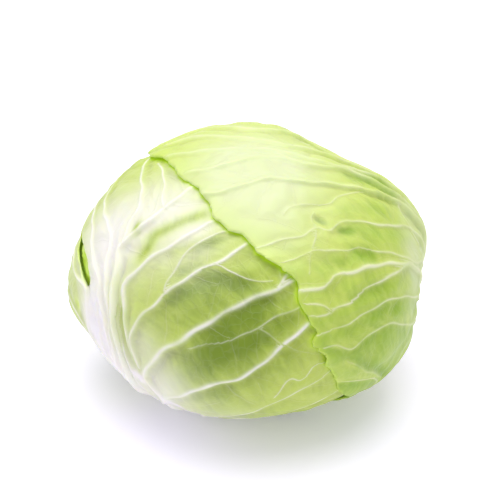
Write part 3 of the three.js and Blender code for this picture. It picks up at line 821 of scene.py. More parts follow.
# %% Waves, crinkles and wrinkles
def waves_and_wrinkles(tree, value):
    # Broad waves and fine crinkles of the whole blade, the same on both faces.
    for label in ("Wave", "Crinkle"):
        rough = add(tree, "ShaderNodeTexNoise", {"noise_dimensions": "4D"}, {
            "Vector": value["here"], "W": value["Seed"], "Scale": value[label + " scale"], "Detail": 1.0})
        value[label + "_noise"] = rough.outputs[0]
    # Wrinkles lie across the leaf's lines: noise on the leaf's own map, stretched.
    value["leaf_map"] = read(tree, "leaf_map", "FLOAT_VECTOR")
    stretch = add(tree, "ShaderNodeCombineXYZ", None,
                  {"X": value["Wrinkle length"], "Y": value["Wrinkle spacing"], "Z": 1.0}).outputs["Vector"]
    on_map = add(tree, "ShaderNodeVectorMath", {"operation": "DIVIDE"},
                 {0: value["leaf_map"], 1: stretch}).outputs["Vector"]
    value["wrinkle_noise"] = add(tree, "ShaderNodeTexNoise", {"noise_dimensions": "4D"}, {
        "Vector": on_map, "W": value["Seed"], "Scale": 1.0, "Detail": 2.0, "Distortion": 0.6}).outputs[0]
    operate(tree, "ShaderNodeMath", [
        ("wave_even", "SUBTRACT", "Wave_noise", 0.5),
        ("wave", "MULTIPLY", "wave_even", "Wave height"),
        ("crinkle_even", "SUBTRACT", "Crinkle_noise", 0.5),
        ("crinkle", "MULTIPLY", "crinkle_even", "Crinkle height"),
        ("flutter", "ADD", "wave", "crinkle"),
        ("wrinkle_even", "SUBTRACT", "wrinkle_noise", 0.5),
        ("wrinkle_calm", "MULTIPLY", "wrinkle_even", "pillow_rest"),
        ("wrinkle", "MULTIPLY", "wrinkle_calm", "Wrinkle height"),
        ("wrinkled", "ADD", "flutter", "wrinkle"),
        ("relief", "ADD", "skinned", "wrinkled"),
        ("allowed", "MULTIPLY", "relief", "free"),
    ], value)


print("noise is the same on both faces of a blade")

# %% [markdown]
# The last part moves each point outwards by the sum of all this, never below the
# place where the leaf rests, and stores what the material needs. The tree ends in
# Realize Instances and Set Material, so that the result is a plain mesh.

# %% Move the points
def move_points(tree, value):
    moved = add(tree, "ShaderNodeVectorMath", {"operation": "SCALE"},
                {0: value["outward"], "Scale": value["allowed"]}).outputs["Vector"]
    value["there"] = add(tree, "ShaderNodeVectorMath", {"operation": "ADD"},
                         {0: value["here"], 1: moved}).outputs["Vector"]
    split = add(tree, "ShaderNodeSeparateXYZ", None, {0: value["there"]})
    height = add(tree, "ShaderNodeMath", {"operation": "MAXIMUM"},
                 {0: split.outputs["Z"], 1: value["Lowest point"]}).outputs["Value"]
    target = add(tree, "ShaderNodeCombineXYZ", None,
                 {"X": split.outputs["X"], "Y": split.outputs["Y"], "Z": height}).outputs["Vector"]
    # What the material needs is stored before the points move.
    flow = value["Geometry"]
    for name, source in (("rib_across", "rib_across"), ("rib_far", "rib_far"), ("rib_tone", "rib_whiteness"),
                         ("vein_across", "vein_across"), ("vein_far", "vein_far"),
                         ("vein_tone", "vein_whiteness"), ("fold", "fold_shape"), ("halo", "halo"),
                         ("wrinkle", "wrinkle_even")):
        flow = add(tree, "GeometryNodeStoreNamedAttribute", {"data_type": "FLOAT", "domain": "POINT"},
                   {"Geometry": flow, "Name": name, "Value": value[source]}).outputs["Geometry"]
    flow = add(tree, "GeometryNodeSetPosition", None,
               {"Geometry": flow, "Position": target}).outputs["Geometry"]
    flow = add(tree, "GeometryNodeSetShadeSmooth", None, {"Geometry": flow}).outputs["Geometry"]
    flow = add(tree, "GeometryNodeRealizeInstances", None, {"Geometry": flow}).outputs["Geometry"]
    flow = add(tree, "GeometryNodeSetMaterial", None,
               {"Geometry": flow, "Material": value["Finish"]}).outputs["Geometry"]
    add(tree, "NodeGroupOutput", None, {"Geometry": flow})


def relief_tree():
    tree = bpy.data.node_groups.new("raise_leaf_ribs", "GeometryNodeTree")
    tree.interface.new_socket(name="Geometry", in_out="INPUT", socket_type="NodeSocketGeometry")
    for name, (kind, start) in RELIEF_INPUTS.items():
        socket = tree.interface.new_socket(name=name, in_out="INPUT", socket_type=kind)
        if start is not None:
            socket.default_value = start
    tree.interface.new_socket(name="Geometry", in_out="OUTPUT", socket_type="NodeSocketGeometry")
    inputs = add(tree, "NodeGroupInput").outputs
    value = {name: inputs[name] for name in ("Geometry", *RELIEF_INPUTS)}
    value["here"] = add(tree, "GeometryNodeInputPosition").outputs["Position"]
    value["outward"] = read(tree, "outward", "FLOAT_VECTOR")
    for name in ("skin", "free", "pale"):
        value[name] = read(tree, name)
    rib_distances(tree, value)
    ridges_and_folds(tree, value)
    waves_and_wrinkles(tree, value)
    move_points(tree, value)
    return tree


raise_ribs = relief_tree()
print("relief tree has", len(raise_ribs.nodes), "nodes")

# %% [markdown]
# A modifier would run the tree again with every change. It's run once here, and its
# result is kept as a plain mesh.

# %% Keep the result of a tree
def finished(item, tree, values):
    """Runs a tree on a mesh once and keeps the result as a plain mesh."""
    modifier = item.modifiers.new("growth", "NODES")
    modifier.node_group = tree
    for socket in tree.interface.items_tree:
        if socket.in_out == "INPUT" and socket.name in values:
            modifier[socket.identifier] = values[socket.name]
    bpy.context.view_layer.update()
    ready = item.evaluated_get(bpy.context.evaluated_depsgraph_get())
    mesh = bpy.data.meshes.new_from_object(ready, preserve_all_data_layers=True,
                                           depsgraph=bpy.context.evaluated_depsgraph_get())
    item.modifiers.remove(modifier)
    old = item.data
    item.data = mesh
    bpy.data.meshes.remove(old)
    mesh.name = item.name
    return item


print("a finished mesh has no modifier left")

# %% [markdown]
# Fresh cabbage leaf is a thin, wet, living sheet. Light goes in, spreads a few
# millimetres and comes out yellow-green, and a thin bloom of wax gives a soft
# satin shine. White ribs hold water and air and no green. A flat green paint
# would look like plastic, so the colour is built up: a lamina that drifts between
# two greens, a fine net of veinlets, white where a vein runs, and white again at
# the thick base. A little subsurface scattering softens the shade.

# %% Colours
def linear(hex_colour):
    """An sRGB hex value as linear red, green, blue and alpha."""
    parts = [int(hex_colour[k:k + 2], 16) / 255 for k in (1, 3, 5)]
    return (*(p / 12.92 if p <= 0.04045 else ((p + 0.055) / 1.055) ** 2.4 for p in parts), 1.0)


def mixed(tree, factor, first, second):
    """The first colour, and by the factor the second one."""
    return add(tree, "ShaderNodeMix", {"data_type": "RGBA"}, {0: factor, 6: first, 7: second}).outputs[2]


def spread(tree, source, low, high, out_low=0.0, out_high=1.0):
    """A value drawn out softly from one range to another."""
    node = add(tree, "ShaderNodeMapRange", {"interpolation_type": "SMOOTHSTEP"}, {
        "Value": source, "From Min": low, "From Max": high, "To Min": out_low, "To Max": out_high})
    return node.outputs["Result"]


def noise(tree, spot, size_mm, detail, seed):
    """Noise with patches of a real size."""
    return add(tree, "ShaderNodeTexNoise", {"noise_dimensions": "4D"},
               {"Vector": spot, "W": seed, "Scale": 1000 / size_mm, "Detail": detail})


print("white is", [round(v, 2) for v in linear("#ffffff")])

# %% [markdown]
# How green a point is, is a sum: a broad drift over the leaf, a fine mottling, the
# tint of its region, which is partly its own colour and partly painted shade and
# light, painted shade in the fold on the lower side of each rib, painted light and
# shade on the wrinkles, lighter on their crests and greener in their troughs, and
# less beside a rib, where the tissue is thick and pale.

# %% How deep the green is
DRIFT_MM = 45
MOTTLE_MM = 9


def green_depth(tree, value, spot, seed):
    value["broad"] = spread(tree, noise(tree, spot, DRIFT_MM, 2, seed).outputs[0], 0.35, 0.65)
    value["mottle"] = spread(tree, noise(tree, spot, MOTTLE_MM, 3, seed + 7).outputs[0], 0.3, 0.7)
    operate(tree, "ShaderNodeMath", [
        ("some_broad", "MULTIPLY", "broad", 0.30),
        ("some_mottle", "MULTIPLY", "mottle", 0.11),
        ("fold_painted_shade", "MULTIPLY", "fold", 0.7),
        ("wrinkle_painted_light", "MULTIPLY", "wrinkle", -0.85),
        ("both", "ADD", "some_broad", "some_mottle"),
        ("three", "ADD", "both", "fold_painted_shade"),
        ("four", "ADD", "three", "wrinkle_painted_light"),
        ("five", "ADD", "four", "green"),
        ("some_halo", "MULTIPLY", "halo", 0.42),
        ("deepness", "SUBTRACT", "five", "some_halo"),
    ], value)


print("green drifts over", DRIFT_MM, "mm and mottles over", MOTTLE_MM, "mm")

# %% [markdown]
# How white a point is comes from its distance to the nearest vein: a narrow bell
# curve for the vein and a wide one for the pale skin beside it. The signed distance
# crosses zero on the vein itself, so the line stays crisp between the points of the
# mesh. No rib is evenly white, so noise thins it here and there.

# %% How white the ribs and veins are
UNEVEN_MM = 16


def vein_whiteness(tree, value, spot, seed):
    patches = noise(tree, spot, UNEVEN_MM, 2, seed + 23).outputs[0]
    value["unevenness"] = spread(tree, patches, 0.3, 0.7, 0.62, 1.08)
    for label in ("rib", "vein"):
        operate(tree, "ShaderNodeMath", [
            ("either_side", "ABSOLUTE", label + "_across"),
            ("true_far", "MAXIMUM", "either_side", label + "_far"),
            ("far_square", "MULTIPLY", "true_far", "true_far"),
            ("core_minus", "MULTIPLY", "far_square", -1.5),
            ("glow_minus", "MULTIPLY", "far_square", -0.32),
            (label + "_bell", "EXPONENT", "core_minus"),
            ("glow", "EXPONENT", "glow_minus"),
            ("some_core", "MULTIPLY", label + "_bell", 0.55),
            ("some_glow", "MULTIPLY", "glow", 0.42),
            ("profile", "ADD", "some_core", "some_glow"),
            ("toned", "MULTIPLY", "profile", label + "_tone"),
            (label + "_white", "MULTIPLY", "toned", "unevenness"),
        ], value)
    operate(tree, "ShaderNodeMath", [("white_line", "MAXIMUM", "rib_white", "vein_white")], value)


print("whiteness of ribs varies over", UNEVEN_MM, "mm")

# %% [markdown]
# Between the veins lies a net of veinlets, the borders of random cells bent by a
# little noise. It is hardly tinted and stands 0.08 mm high. Veinlets, the crests of
# the ribs and the grain of the skin are too fine for the mesh, so they are bumps.

# %% The net of veinlets and the fine relief
VEINLET_MM = 5.0
GRAIN_MM = 0.9
NET_TINT = 0.03


def fine_relief(tree, value, spot, seed):
    """Adds the net to the values and gives back the normal with all fine bumps."""
    warp = noise(tree, spot, 7, 2, seed + 3).outputs["Color"]
    bend = add(tree, "ShaderNodeMix", {"data_type": "VECTOR"}, {0: 0.006, 4: spot, 5: warp}).outputs[1]
    cells = add(tree, "ShaderNodeTexVoronoi", {"feature": "DISTANCE_TO_EDGE", "voronoi_dimensions": "3D"},
                {"Vector": bend, "Scale": 1000 / VEINLET_MM})
    value["net"] = spread(tree, cells.outputs["Distance"], 0.0, 0.12, 1.0, 0.0)
    value["calm"] = spread(tree, value["pale"], 0.0, 0.7, 1.0, 0.0)
    value["grain"] = noise(tree, spot, GRAIN_MM, 2, seed + 11).outputs[0]
    operate(tree, "ShaderNodeMath", [
        ("net_calm", "MULTIPLY", "net", "calm"),
        ("net_tint", "MULTIPLY", "net_calm", NET_TINT),
        ("net_up", "MULTIPLY", "net_calm", 0.00008),
        ("grain_up", "MULTIPLY", "grain", 0.00006),
        ("vein_up", "MULTIPLY", "vein_bell", 0.00010),
        ("rib_up", "MULTIPLY", "rib_bell", 0.0002),
        ("lines_up", "MAXIMUM", "vein_up", "rib_up"),
        ("fine_grain", "ADD", "net_up", "grain_up"),
        ("fine", "ADD", "fine_grain", "lines_up"),
    ], value)
    bump = add(tree, "ShaderNodeBump", None, {"Strength": 0.8, "Distance": 1.0, "Height": value["fine"]})
    return bump.outputs["Normal"]


print("veinlets are", VEINLET_MM, "mm apart and the grain is", GRAIN_MM, "mm")

# %% [markdown]
# One function puts the leaf material together for every leaf. Its bloom of wax
# makes a satin of uneven roughness, its water gives an index of 1.45, and its
# scattering is strongest in green. In the gaps under the margins and along the
# margins a yellow-green colour and a weak emission are painted light, a glow that
# stands in for light falling through the thin blades. The four finishes differ in
# colour alone.

# %% Fresh cabbage leaf
LEAF_IOR = 1.45
SCATTER_SCALE = 0.004
SCATTER_COLOURS = (1.0, 1.3, 0.35)
GAP_GLOW = 0.24
RIM_GLOW = 0.10
STORED = ("green", "fold", "pale", "edge", "crevice", "halo", "wrinkle", "rib_across", "rib_far", "rib_tone",
          "vein_across", "vein_far", "vein_tone")


def leaf_finish(name, light, deep, vein, base, edge, gap, seed):
    """Fresh cabbage leaf: satin, soft in the shade, with white ribs and a painted glow in its gaps and at its
    margins.
    """
    material = bpy.data.materials.new(name)
    material.use_nodes = True
    tree = material.node_tree
    tree.nodes.clear()
    spot = add(tree, "ShaderNodeTexCoord").outputs["Object"]
    value = {}
    for label in STORED:
        value[label] = add(tree, "ShaderNodeAttribute", {"attribute_name": label}).outputs["Fac"]
    green_depth(tree, value, spot, seed)
    vein_whiteness(tree, value, spot, seed)
    normal = fine_relief(tree, value, spot, seed)
    # Painted glow: emission in the gaps and at the rims stands in for light through the blade.
    operate(tree, "ShaderNodeMath", [
        ("gap_light", "MULTIPLY", "crevice", GAP_GLOW),
        ("rim_light", "MULTIPLY", "edge", RIM_GLOW),
        ("through_light", "ADD", "gap_light", "rim_light"),
    ], value)
    # Deeper green, where the folds, wrinkles and region marks drive it, is painted shade.
    colour = mixed(tree, spread(tree, value["deepness"], 0.0, 1.3), linear(light), linear(deep))
    colour = mixed(tree, value["net_tint"], colour, linear(vein))
    # The margin colour is painted light, as if the rim were lit through the thin blade.
    colour = mixed(tree, value["edge"], colour, linear(edge))
    colour = mixed(tree, value["pale"], colour, linear(base))
    white = mixed(tree, value["pale"], linear(vein), linear(base))
    colour = mixed(tree, spread(tree, value["white_line"], 0.0, 1.0), colour, white)
    # The gap colour is painted light, as if the gap were lit through the blade above.
    colour = mixed(tree, value["crevice"], colour, linear(gap))
    wax_bloom = spread(tree, noise(tree, spot, 14, 2, seed + 17).outputs[0], 0.3, 0.7, 0.37, 0.52)
    shader = add(tree, "ShaderNodeBsdfPrincipled", None, {
        "Base Color": colour, "Roughness": wax_bloom, "IOR": LEAF_IOR, "Normal": normal,
        "Subsurface Weight": 0.35, "Subsurface Radius": SCATTER_COLOURS, "Subsurface Scale": SCATTER_SCALE,
        "Emission Color": linear(gap), "Emission Strength": value["through_light"],
    })
    add(tree, "ShaderNodeOutputMaterial", None, {"Surface": shader.outputs[0]})
    return material


# In each finish the edge and gap colours are painted light, as if lit through the thin blade.
# Outermost leaf: bleached by the sun, pale yellow-green, with greenish ribs.
right_finish = leaf_finish("fresh_leaf_pale", light="#c0d35f", deep="#7ea60b", vein="#dde3b6",
                           base="#cfdaa8", edge="#b6cf56", gap="#bce01a", seed=1.0)
# Next leaf: deeper green, with a thick, nearly white base and white ribs.
left_finish = leaf_finish("fresh_leaf_green", light="#b7cb56", deep="#718a14", vein="#e8ead8",
                          base="#edece2", edge="#c4da50", gap="#bce01a", seed=5.0)
# Leaves that grew half in the dark: lighter and cooler than the wrappers.
under_finish = leaf_finish("fresh_leaf_under", light="#bccf72", deep="#7f9f2c", vein="#d6dab6",
                           base="#d4d2c6", edge="#b4d636", gap="#b4de30", seed=9.0)
# Inner leaves that never saw light: cream with a breath of green.
inner_finish = leaf_finish("packed_inner_leaf", light="#d2d99c", deep="#aec268", vein="#dcdfc8",
                           base="#d9d7cb", edge="#cbd68c", gap="#9cbf3c", seed=13.0)
print("leaf finishes:", right_finish.name, left_finish.name, under_finish.name, inner_finish.name)

# %% [markdown]
# Now the leaves themselves. Each one gets its grid of directions, its lift at the
# margin and its tint by region, and is turned into a shell. The tint is a soft
# blot at a bearing: deeper green where the photograph is darker, which is partly
# the leaf's own colour and partly painted shade, and paler where it is lighter,
# which is the thick white base and, high on the head, partly a bleached leaf and
# partly painted light.

# %% Build a blade
FINE_COLUMNS = 360
FINE_ROWS = 240
UNDER_COLUMNS = 210
UNDER_ROWS = 150
ROW_EASING = 1.1
# A margin is rounded and thinner, and painted with light and a glow as if lit
# through the thin blade, over these reaches in millimetres.
EDGE_ROUNDING = 0.3
ROUNDING_REACH = 0.8
MARGIN_THINNING = 0.4
THINNING_REACH = 4.0
RIM_PAINTED_LIGHT = 0.8
RIM_PAINTED_LIGHT_REACH = 2.5
TEAR_RIM_PAINTED_LIGHT = 0.9


def even_columns(table, count):
    """Line numbers that lie about equally far apart where the leaf is widest."""
    line = np.linspace(0, len(table) - 1, 40 * len(table))
    spans = [np.linalg.norm(np.diff(directions(table, line, np.full_like(line, v)), axis=0), axis=1)
             for v in (0.5, 0.7, 0.95)]
    along = np.concatenate([[0], np.cumsum(np.max(spans, axis=0) + 1e-4)])
    return np.interp(np.linspace(0, along[-1], count + 1), along, line)


def blot(dirs, blots):
    """The sum of soft spots: bearing, height, spread in degrees, and strength."""
    total = np.zeros(dirs.shape[:-1])
    for bearing, height, spread, strength in blots:
        angle = np.degrees(np.arccos(np.clip(dirs @ unit(bearing, height), -1, 1)))
        total += strength * np.exp(-((angle / spread) ** 2))
    return total


def streak(stops, spread, strength):
    """Soft spots in a row along some bearings; where they overlap, the sum is the strength."""
    dirs = np.array([unit(b, h) for b, h in stops])
    along = np.concatenate([[0], np.cumsum(np.degrees(np.linalg.norm(np.diff(dirs, axis=0), axis=1)))])
    count = math.ceil(along[-1] / (0.7 * spread)) + 1
    places = np.linspace(0, along[-1], count)
    each = strength * min(1.0, places[1] / (math.sqrt(math.pi) * spread))
    bearings, heights = (np.interp(places, along, column) for column in zip(*stops))
    return [(b, h, spread, each) for b, h in zip(bearings, heights)]


def blade(name, table, depth, margin, lift, lift_reach, columns, rows, swell_share, blots, pales, cover,
          slit=None, dents=(), edges=()):
    """A leaf's shell, with what the nodes and the material need stored on it."""
    line = even_columns(table, columns)
    hole = None
    row = (np.linspace(0, 1, rows + 1)) ** ROW_EASING
    end = margin(line)
    lines, shares = np.meshgrid(line, row, indexing="ij")
    shares = shares * end[:, None]
    if slit:
        lines, hole = slit(lines, shares, line)
    dirs = directions(table, lines, shares)
    points = place(dirs, depth, 0.0, swell_share)
    step = np.linalg.norm(np.diff(points, axis=1), axis=2)
    to_end = np.concatenate([np.cumsum(step[:, ::-1], axis=1)[:, ::-1], np.zeros((len(line), 1))], axis=1)
    lift_mm = np.interp(line, *zip(*lift))[:, None] * np.clip(1 - to_end / lift_reach, 0, 1) ** 2
    rounding = EDGE_ROUNDING * np.clip(1 - to_end / ROUNDING_REACH, 0, 1)
    free, crevice = cover(dirs)
    lift_mm = lift_mm + blot(dirs, dents)
    thickness = BLADE - MARGIN_THINNING * np.clip(1 - to_end / THINNING_REACH, 0, 1)
    outer = place(dirs, depth, lift_mm - rounding, swell_share)
    inner = place(dirs, depth + thickness, lift_mm, swell_share)
    across = np.cumsum(np.pad(np.linalg.norm(np.diff(points[:, rows * 2 // 3], axis=0), axis=1), (1, 0)))
    leaf_map = np.stack([np.repeat(across[:, None], rows + 1, 1), -to_end, np.zeros_like(to_end)], -1) * MM
    points, faces = shell(outer, inner, hole)
    used = np.unique(np.concatenate([np.ravel(f) for f in faces]))
    again = np.full(len(points), -1)
    again[used] = np.arange(len(used))
    faces = [tuple(again[list(f)]) for f in faces]
    item = new_mesh_object(name, points[used], faces=faces)

    def both(grid):
        return np.concatenate([grid.ravel(), grid[::INSIDE_STEP, ::INSIDE_STEP].ravel()])[used]

    all_dirs = np.concatenate([dirs.reshape(-1, 3), dirs[::INSIDE_STEP, ::INSIDE_STEP].reshape(-1, 3)])[used]
    skin = np.concatenate([np.ones(dirs[..., 0].size), np.zeros(dirs[::INSIDE_STEP, ::INSIDE_STEP, 0].size)])
    store(item.data, "outward", "FLOAT_VECTOR", all_dirs)
    store(item.data, "skin", "FLOAT", skin[used])
    store(item.data, "free", "FLOAT", both(free))
    store(item.data, "green", "FLOAT", both(blot(dirs, blots)))
    store(item.data, "pale", "FLOAT", both(np.clip(blot(dirs, pales), 0, 1)))
    # The rim is painted with light, as if lit through the thin blade; the material also makes it glow.
    rim_painted_light = RIM_PAINTED_LIGHT * np.clip(1 - to_end / RIM_PAINTED_LIGHT_REACH, 0, 1) ** 3
    tint = np.clip(rim_painted_light + blot(dirs, edges), 0, 1)
    # The walls of the tear are painted with light and a glow, as if lit through the blade.
    if hole:
        tint[hole[0]:hole[1] + 1, hole[2]:hole[3] + 1] = TEAR_RIM_PAINTED_LIGHT
    store(item.data, "edge", "FLOAT", both(tint))
    # Painted light in the gaps under an outer leaf's margin.
    store(item.data, "crevice", "FLOAT", both(crevice))
    map_rows = [leaf_map.reshape(-1, 3), leaf_map[::INSIDE_STEP, ::INSIDE_STEP].reshape(-1, 3)]
    store(item.data, "leaf_map", "FLOAT_VECTOR", np.concatenate(map_rows)[used])
    return item, dirs


print("wrapper leaves have", FINE_COLUMNS, "by", FINE_ROWS, "cells")

# %% [markdown]
# The right leaf is the outermost one. Its top is pale, partly bleached and partly
# painted light where the light falls strongest; its shoulder and lower side are
# greener, partly in colour and partly painted shade; and a crumple near the middle
# has two small pockets. Each of these is a named row of bearings, used for the
# tint and for the dent alike, so that a hollow is also painted a deeper green:
# painted shade, where it turns from the light.

# %% The right wrapper leaf
POCKET = [(-53.8, 45.8), (-52.2, 43.8), (-50.4, 42.6)]
BELOW_CRUMPLE = [(-46.5, 38.8), (-43.1, 37.3), (-40.4, 36.8)]
CREASE_SHADE = [(-56, 51), (-47.2, 49.3), (-40.9, 48.1)]
SHOULDER_GREEN = [(-9.5, 51.9), (0.1, 44.4), (5.4, 36.2), (7.6, 29.9)]
ABOVE_UPPER_RIB = [(-39.3, 46.6), (-19.6, 37.7), (-13.6, 30.6)]
HOLLOW_UNDER_MID = [(-46.5, 30.6), (-42.7, 28.6), (-39, 26.1)]
HOLLOW_LEFT = [(-59.7, 28.9), (-55.2, 28.4), (-50.4, 28.4)]
HOLLOW_LOW = [(-55.9, 18), (-47.1, 18.2), (-39.9, 17)]
FROST = [(6.5, 25.6), (-5.1, 23.8), (-13.8, 18.6), (-20.5, 12.9), (-26.7, 5.6)]
# Deeper green by region: in the hollows, the pockets, under the crumple and low on the leaf it is painted
# shade, partly also the leaf's own green; the negative spots high on the leaf are painted light.
RIGHT_GREEN_AND_PAINTED_SHADE = [
    (-45, -8, 34, 0.55), (-48, 12, 16, 0.22), (-30, 32, 16, 0.25), (-60, 60, 34, -0.3), (150, 60, 40, -0.2),
    (60, 20, 40, 0.15), (-54.4, 39.1, 2.2, -0.35),
    *streak(POCKET, 1.4, 1.1), *streak(BELOW_CRUMPLE, 1.6, 0.8), *streak(SHOULDER_GREEN, 5.5, 0.58),
    *streak(ABOVE_UPPER_RIB, 3.5, 0.2),
    *streak(HOLLOW_UNDER_MID, 2.2, 0.4), *streak(HOLLOW_LEFT, 2.4, 0.25), *streak(HOLLOW_LOW, 2.2, 0.25),
]
# Paler by region: the stalk's base and the frosted rib fan at the right are the leaf's own white; the spots
# high on the leaf are partly a bleached leaf and partly painted light.
RIGHT_PALE_AND_PAINTED_LIGHT = [
    (-144, -62, 26, 1.0), (6, 4, 15, 0.7), (10, -28, 18, 0.45), (-18, 14, 7, 0.3), (-100, 58, 24, 0.4),
    (-60, 72, 24, 0.72), (90, 75, 30, 0.3), (-100, 80, 22, 0.42), (-75, 45, 12, 0.25),
    *streak(FROST, 6, 0.35),
]
RIGHT_DENTS = [
    *streak(POCKET, 1.4, -1.9), *streak(BELOW_CRUMPLE, 1.6, -1.3),
    (-54.4, 39.1, 2.2, 0.9), (-49, 42.6, 1.8, 0.8),
    *streak(CREASE_SHADE, 1.3, -0.9), *streak(HOLLOW_UNDER_MID, 2.4, -1.2), *streak(HOLLOW_LEFT, 2.6, -1.0),
    *streak(HOLLOW_LOW, 2.4, -0.9), (-60, 20.5, 3.5, -1.0), (-62, 31, 4, -0.5), (-63, 13, 2.5, -0.7),
]


def uncovered(dirs):
    return np.ones(dirs.shape[:-1]), np.zeros(dirs.shape[:-1])


right_leaf, right_dirs = blade(
    "leaf_right", right_table, 0.0, right_margin, RIGHT_LIFT, 12.0, FINE_COLUMNS, FINE_ROWS, 1.0,
    RIGHT_GREEN_AND_PAINTED_SHADE, RIGHT_PALE_AND_PAINTED_LIGHT, uncovered, dents=RIGHT_DENTS)
print("right leaf:", len(right_leaf.data.polygons), "faces")

# %% [markdown]
# The lower leaves have to know where they are covered. Under another leaf a rib
# is pressed low, or it would poke through the blade above. A search tree over the
# outer leaf's points gives the distance to it, and another over its edge tells
# how far in from the margin a covered point lies.

# %% Where a leaf is covered
PRESSED_SHARE = 0.2
FADE_MM = 8.0
FREE_AT_RIM = 0.6
NEAR_RIM_MM = 4.0
INSIDE_REACH_MM = 1.6
COMPARE_RADIUS_MM = 90.0
# The painted light in a gap, standing in for light that comes through the blade above: its strength, its
# reach outside and inside the rim, and how it grows upwards.
GAP_PAINTED_LIGHT = 0.85
CREVICE_MM = 1.3
GAP_DEPTH_MM = 9
GAP_TINT_LEVEL = 0.3
GAP_TINT_GROWTH = 1.1
GAP_TINT_LEAST = 0.25


def leaf_cover(grid, flat, radius):
    """How far in from one outer leaf's edge each point lies, in millimetres; outside is negative."""
    inside = tree_of(grid[::2, ::2].reshape(-1, 3) * radius)
    sides = ((grid[:, -1], grid[:, -4]), (grid[0], grid[3]), (grid[-1], grid[-4]))
    rim = np.concatenate([edge for edge, within in sides]) * radius
    inward = np.concatenate([normalised(within - edge) for edge, within in sides])
    rim_tree = tree_of(rim)
    found = [rim_tree.find(p)[1:] for p in flat]
    nearest, to_rim = np.array([f[0] for f in found]), np.array([f[1] for f in found])
    ahead = np.sum((flat - rim[nearest]) * inward[nearest], axis=1)
    within_reach = np.array([inside.find(p)[2] for p in flat]) < INSIDE_REACH_MM
    covered = np.where(to_rim < NEAR_RIM_MM, ahead > 0, within_reach)
    return np.where(covered, to_rim, -to_rim)


def cover_rule(outer_grids):
    """A function that gives how free a leaf's points are, and how much painted light lies in a gap."""
    radius = COMPARE_RADIUS_MM

    def cover(dirs):
        free, crevice = uncovered(dirs)
        for grid in outer_grids:
            depth_in = leaf_cover(grid, dirs.reshape(-1, 3) * radius, radius).reshape(dirs.shape[:-1])
            free = np.minimum(free, np.clip(FREE_AT_RIM - depth_in / FADE_MM, PRESSED_SHARE, 1))
            outside = np.minimum(depth_in, 0) / CREVICE_MM
            # The gap is painted with bright yellow-green light, as if lit through the blade above.
            shade = GAP_PAINTED_LIGHT * np.exp(-(outside ** 2)) * (depth_in < GAP_DEPTH_MM)
            # Light falls in from above, so the painted light in the gaps low on the head is weaker.
            shade = shade * np.clip(GAP_TINT_LEVEL + GAP_TINT_GROWTH * dirs[..., 2], GAP_TINT_LEAST, 1)
            crevice = np.maximum(crevice, shade)
        return free, crevice

    return cover


print("covered ribs keep", PRESSED_SHARE, "of their height")

# %% [markdown]
# The left leaf has torn a little near its back edge. The tear is a slit whose
# sides are drawn apart, and the leaf below shows in it. Three narrow columns of
# the grid run along it, and their cells are left out where it is open.

# %% The tear in the left leaf
TEAR = [(177, 14.2), (-176, 15), (-168.4, 15.3), (-162, 14.0), (-157, 12.8), (-153.4, 11.6), (-151.6, 10.4)]
TEAR_OPENING = 0.29
TEAR_PULL_COLUMNS = 14.0
tear_lines, tear_shares = on_map(left_table, TEAR)
tear_order = np.argsort(tear_shares)
print("tear lies on lines", tear_lines.round(2), "at shares", tear_shares.round(2))


def tear_slit(lines, shares, line):
    """Draws three columns to the tear, opens them, and says which cells go."""
    lines = lines.copy()
    centre = int(np.argmin(abs(line - tear_lines.mean()))) // INSIDE_STEP * INSIDE_STEP
    middle_row = shares[centre]
    path = np.interp(middle_row, tear_shares[tear_order], tear_lines[tear_order])
    low, high = tear_shares.min(), tear_shares.max()
    inside = np.clip((middle_row - low) / (high - low), 0, 1)
    opening = TEAR_OPENING * np.sin(np.pi * inside ** 0.6) ** 0.8 * ((inside > 0) & (inside < 1))
    column = np.arange(len(line))
    step = np.where(column < centre + 1.5, -1, 1)
    # Columns close to the tear follow it, and the rest keep their own lines.
    pull = np.exp(-(((column - centre - 1.5) / TEAR_PULL_COLUMNS) ** 2))
    shift = pull[:, None] * (path - line[centre:centre + 4].mean())[None, :]
    lines = lines + shift + (step * pull)[:, None] * opening[None, :]
    narrow = slice(centre, centre + 4)
    lines[narrow] = path[None, :] + np.array([-1, -0.98, 0.98, 1])[:, None] * (opening[None, :] + 0.004)
    rows = np.where(opening > 0)[0]
    first = -(-rows[0] // INSIDE_STEP) * INSIDE_STEP
    last = rows[-1] // INSIDE_STEP * INSIDE_STEP
    return lines, (centre, centre + INSIDE_STEP, int(first), int(last))


# %% [markdown]
# The left leaf shows its base, where all its ribs come together in white ridges
# with grooves between them. Deeper green is painted under each rib and in the
# grooves: painted shade, as the folds and hollows there turn from the light. Rows
# of bearings name these places again.

# %% The left wrapper leaf
GROOVE = [(-133.5, 11.9), (-131.5, 5.3), (-129.0, -1.0), (-125.6, -7.3), (-123.3, -13.9), (-122.2, -21.5)]
UPPER_FOLD = [(-134.4, 36.3), (-130.7, 39.8), (-126.2, 44), (-120.5, 47.9), (-114.4, 50.6)]
RIB_POCKETS = [[(-143.1, 34.7), (-145.7, 37.6)], [(-133.2, 28.4), (-132.9, 31.8), (-131.5, 34.1)]]
UNDER_SECOND = [(-121.3, 34.3), (-115.4, 37.3), (-108.6, 39.8), (-101.6, 42.4)]
UNDER_FORK = [(-115.9, 27), (-111.4, 30.1), (-105.8, 32.9)]
UNDER_FIRST = [(-117.5, 19.5), (-108, 25.3), (-98.9, 28.4), (-90.3, 27.8)]
DARK_MIDDLE = [(-102.4, 7.3), (-95.8, 13.3), (-92.2, 16.5), (-85.1, 21.2)]
UNDER_LOWEST = [(-106.9, -0.8), (-99.3, 3.8), (-90.6, 9.6), (-81.5, 13.7)]
BESIDE_MARGIN = [(-70.6, 8), (-68.5, 3), (-66.5, -1), (-64, -5), (-61, -12)]
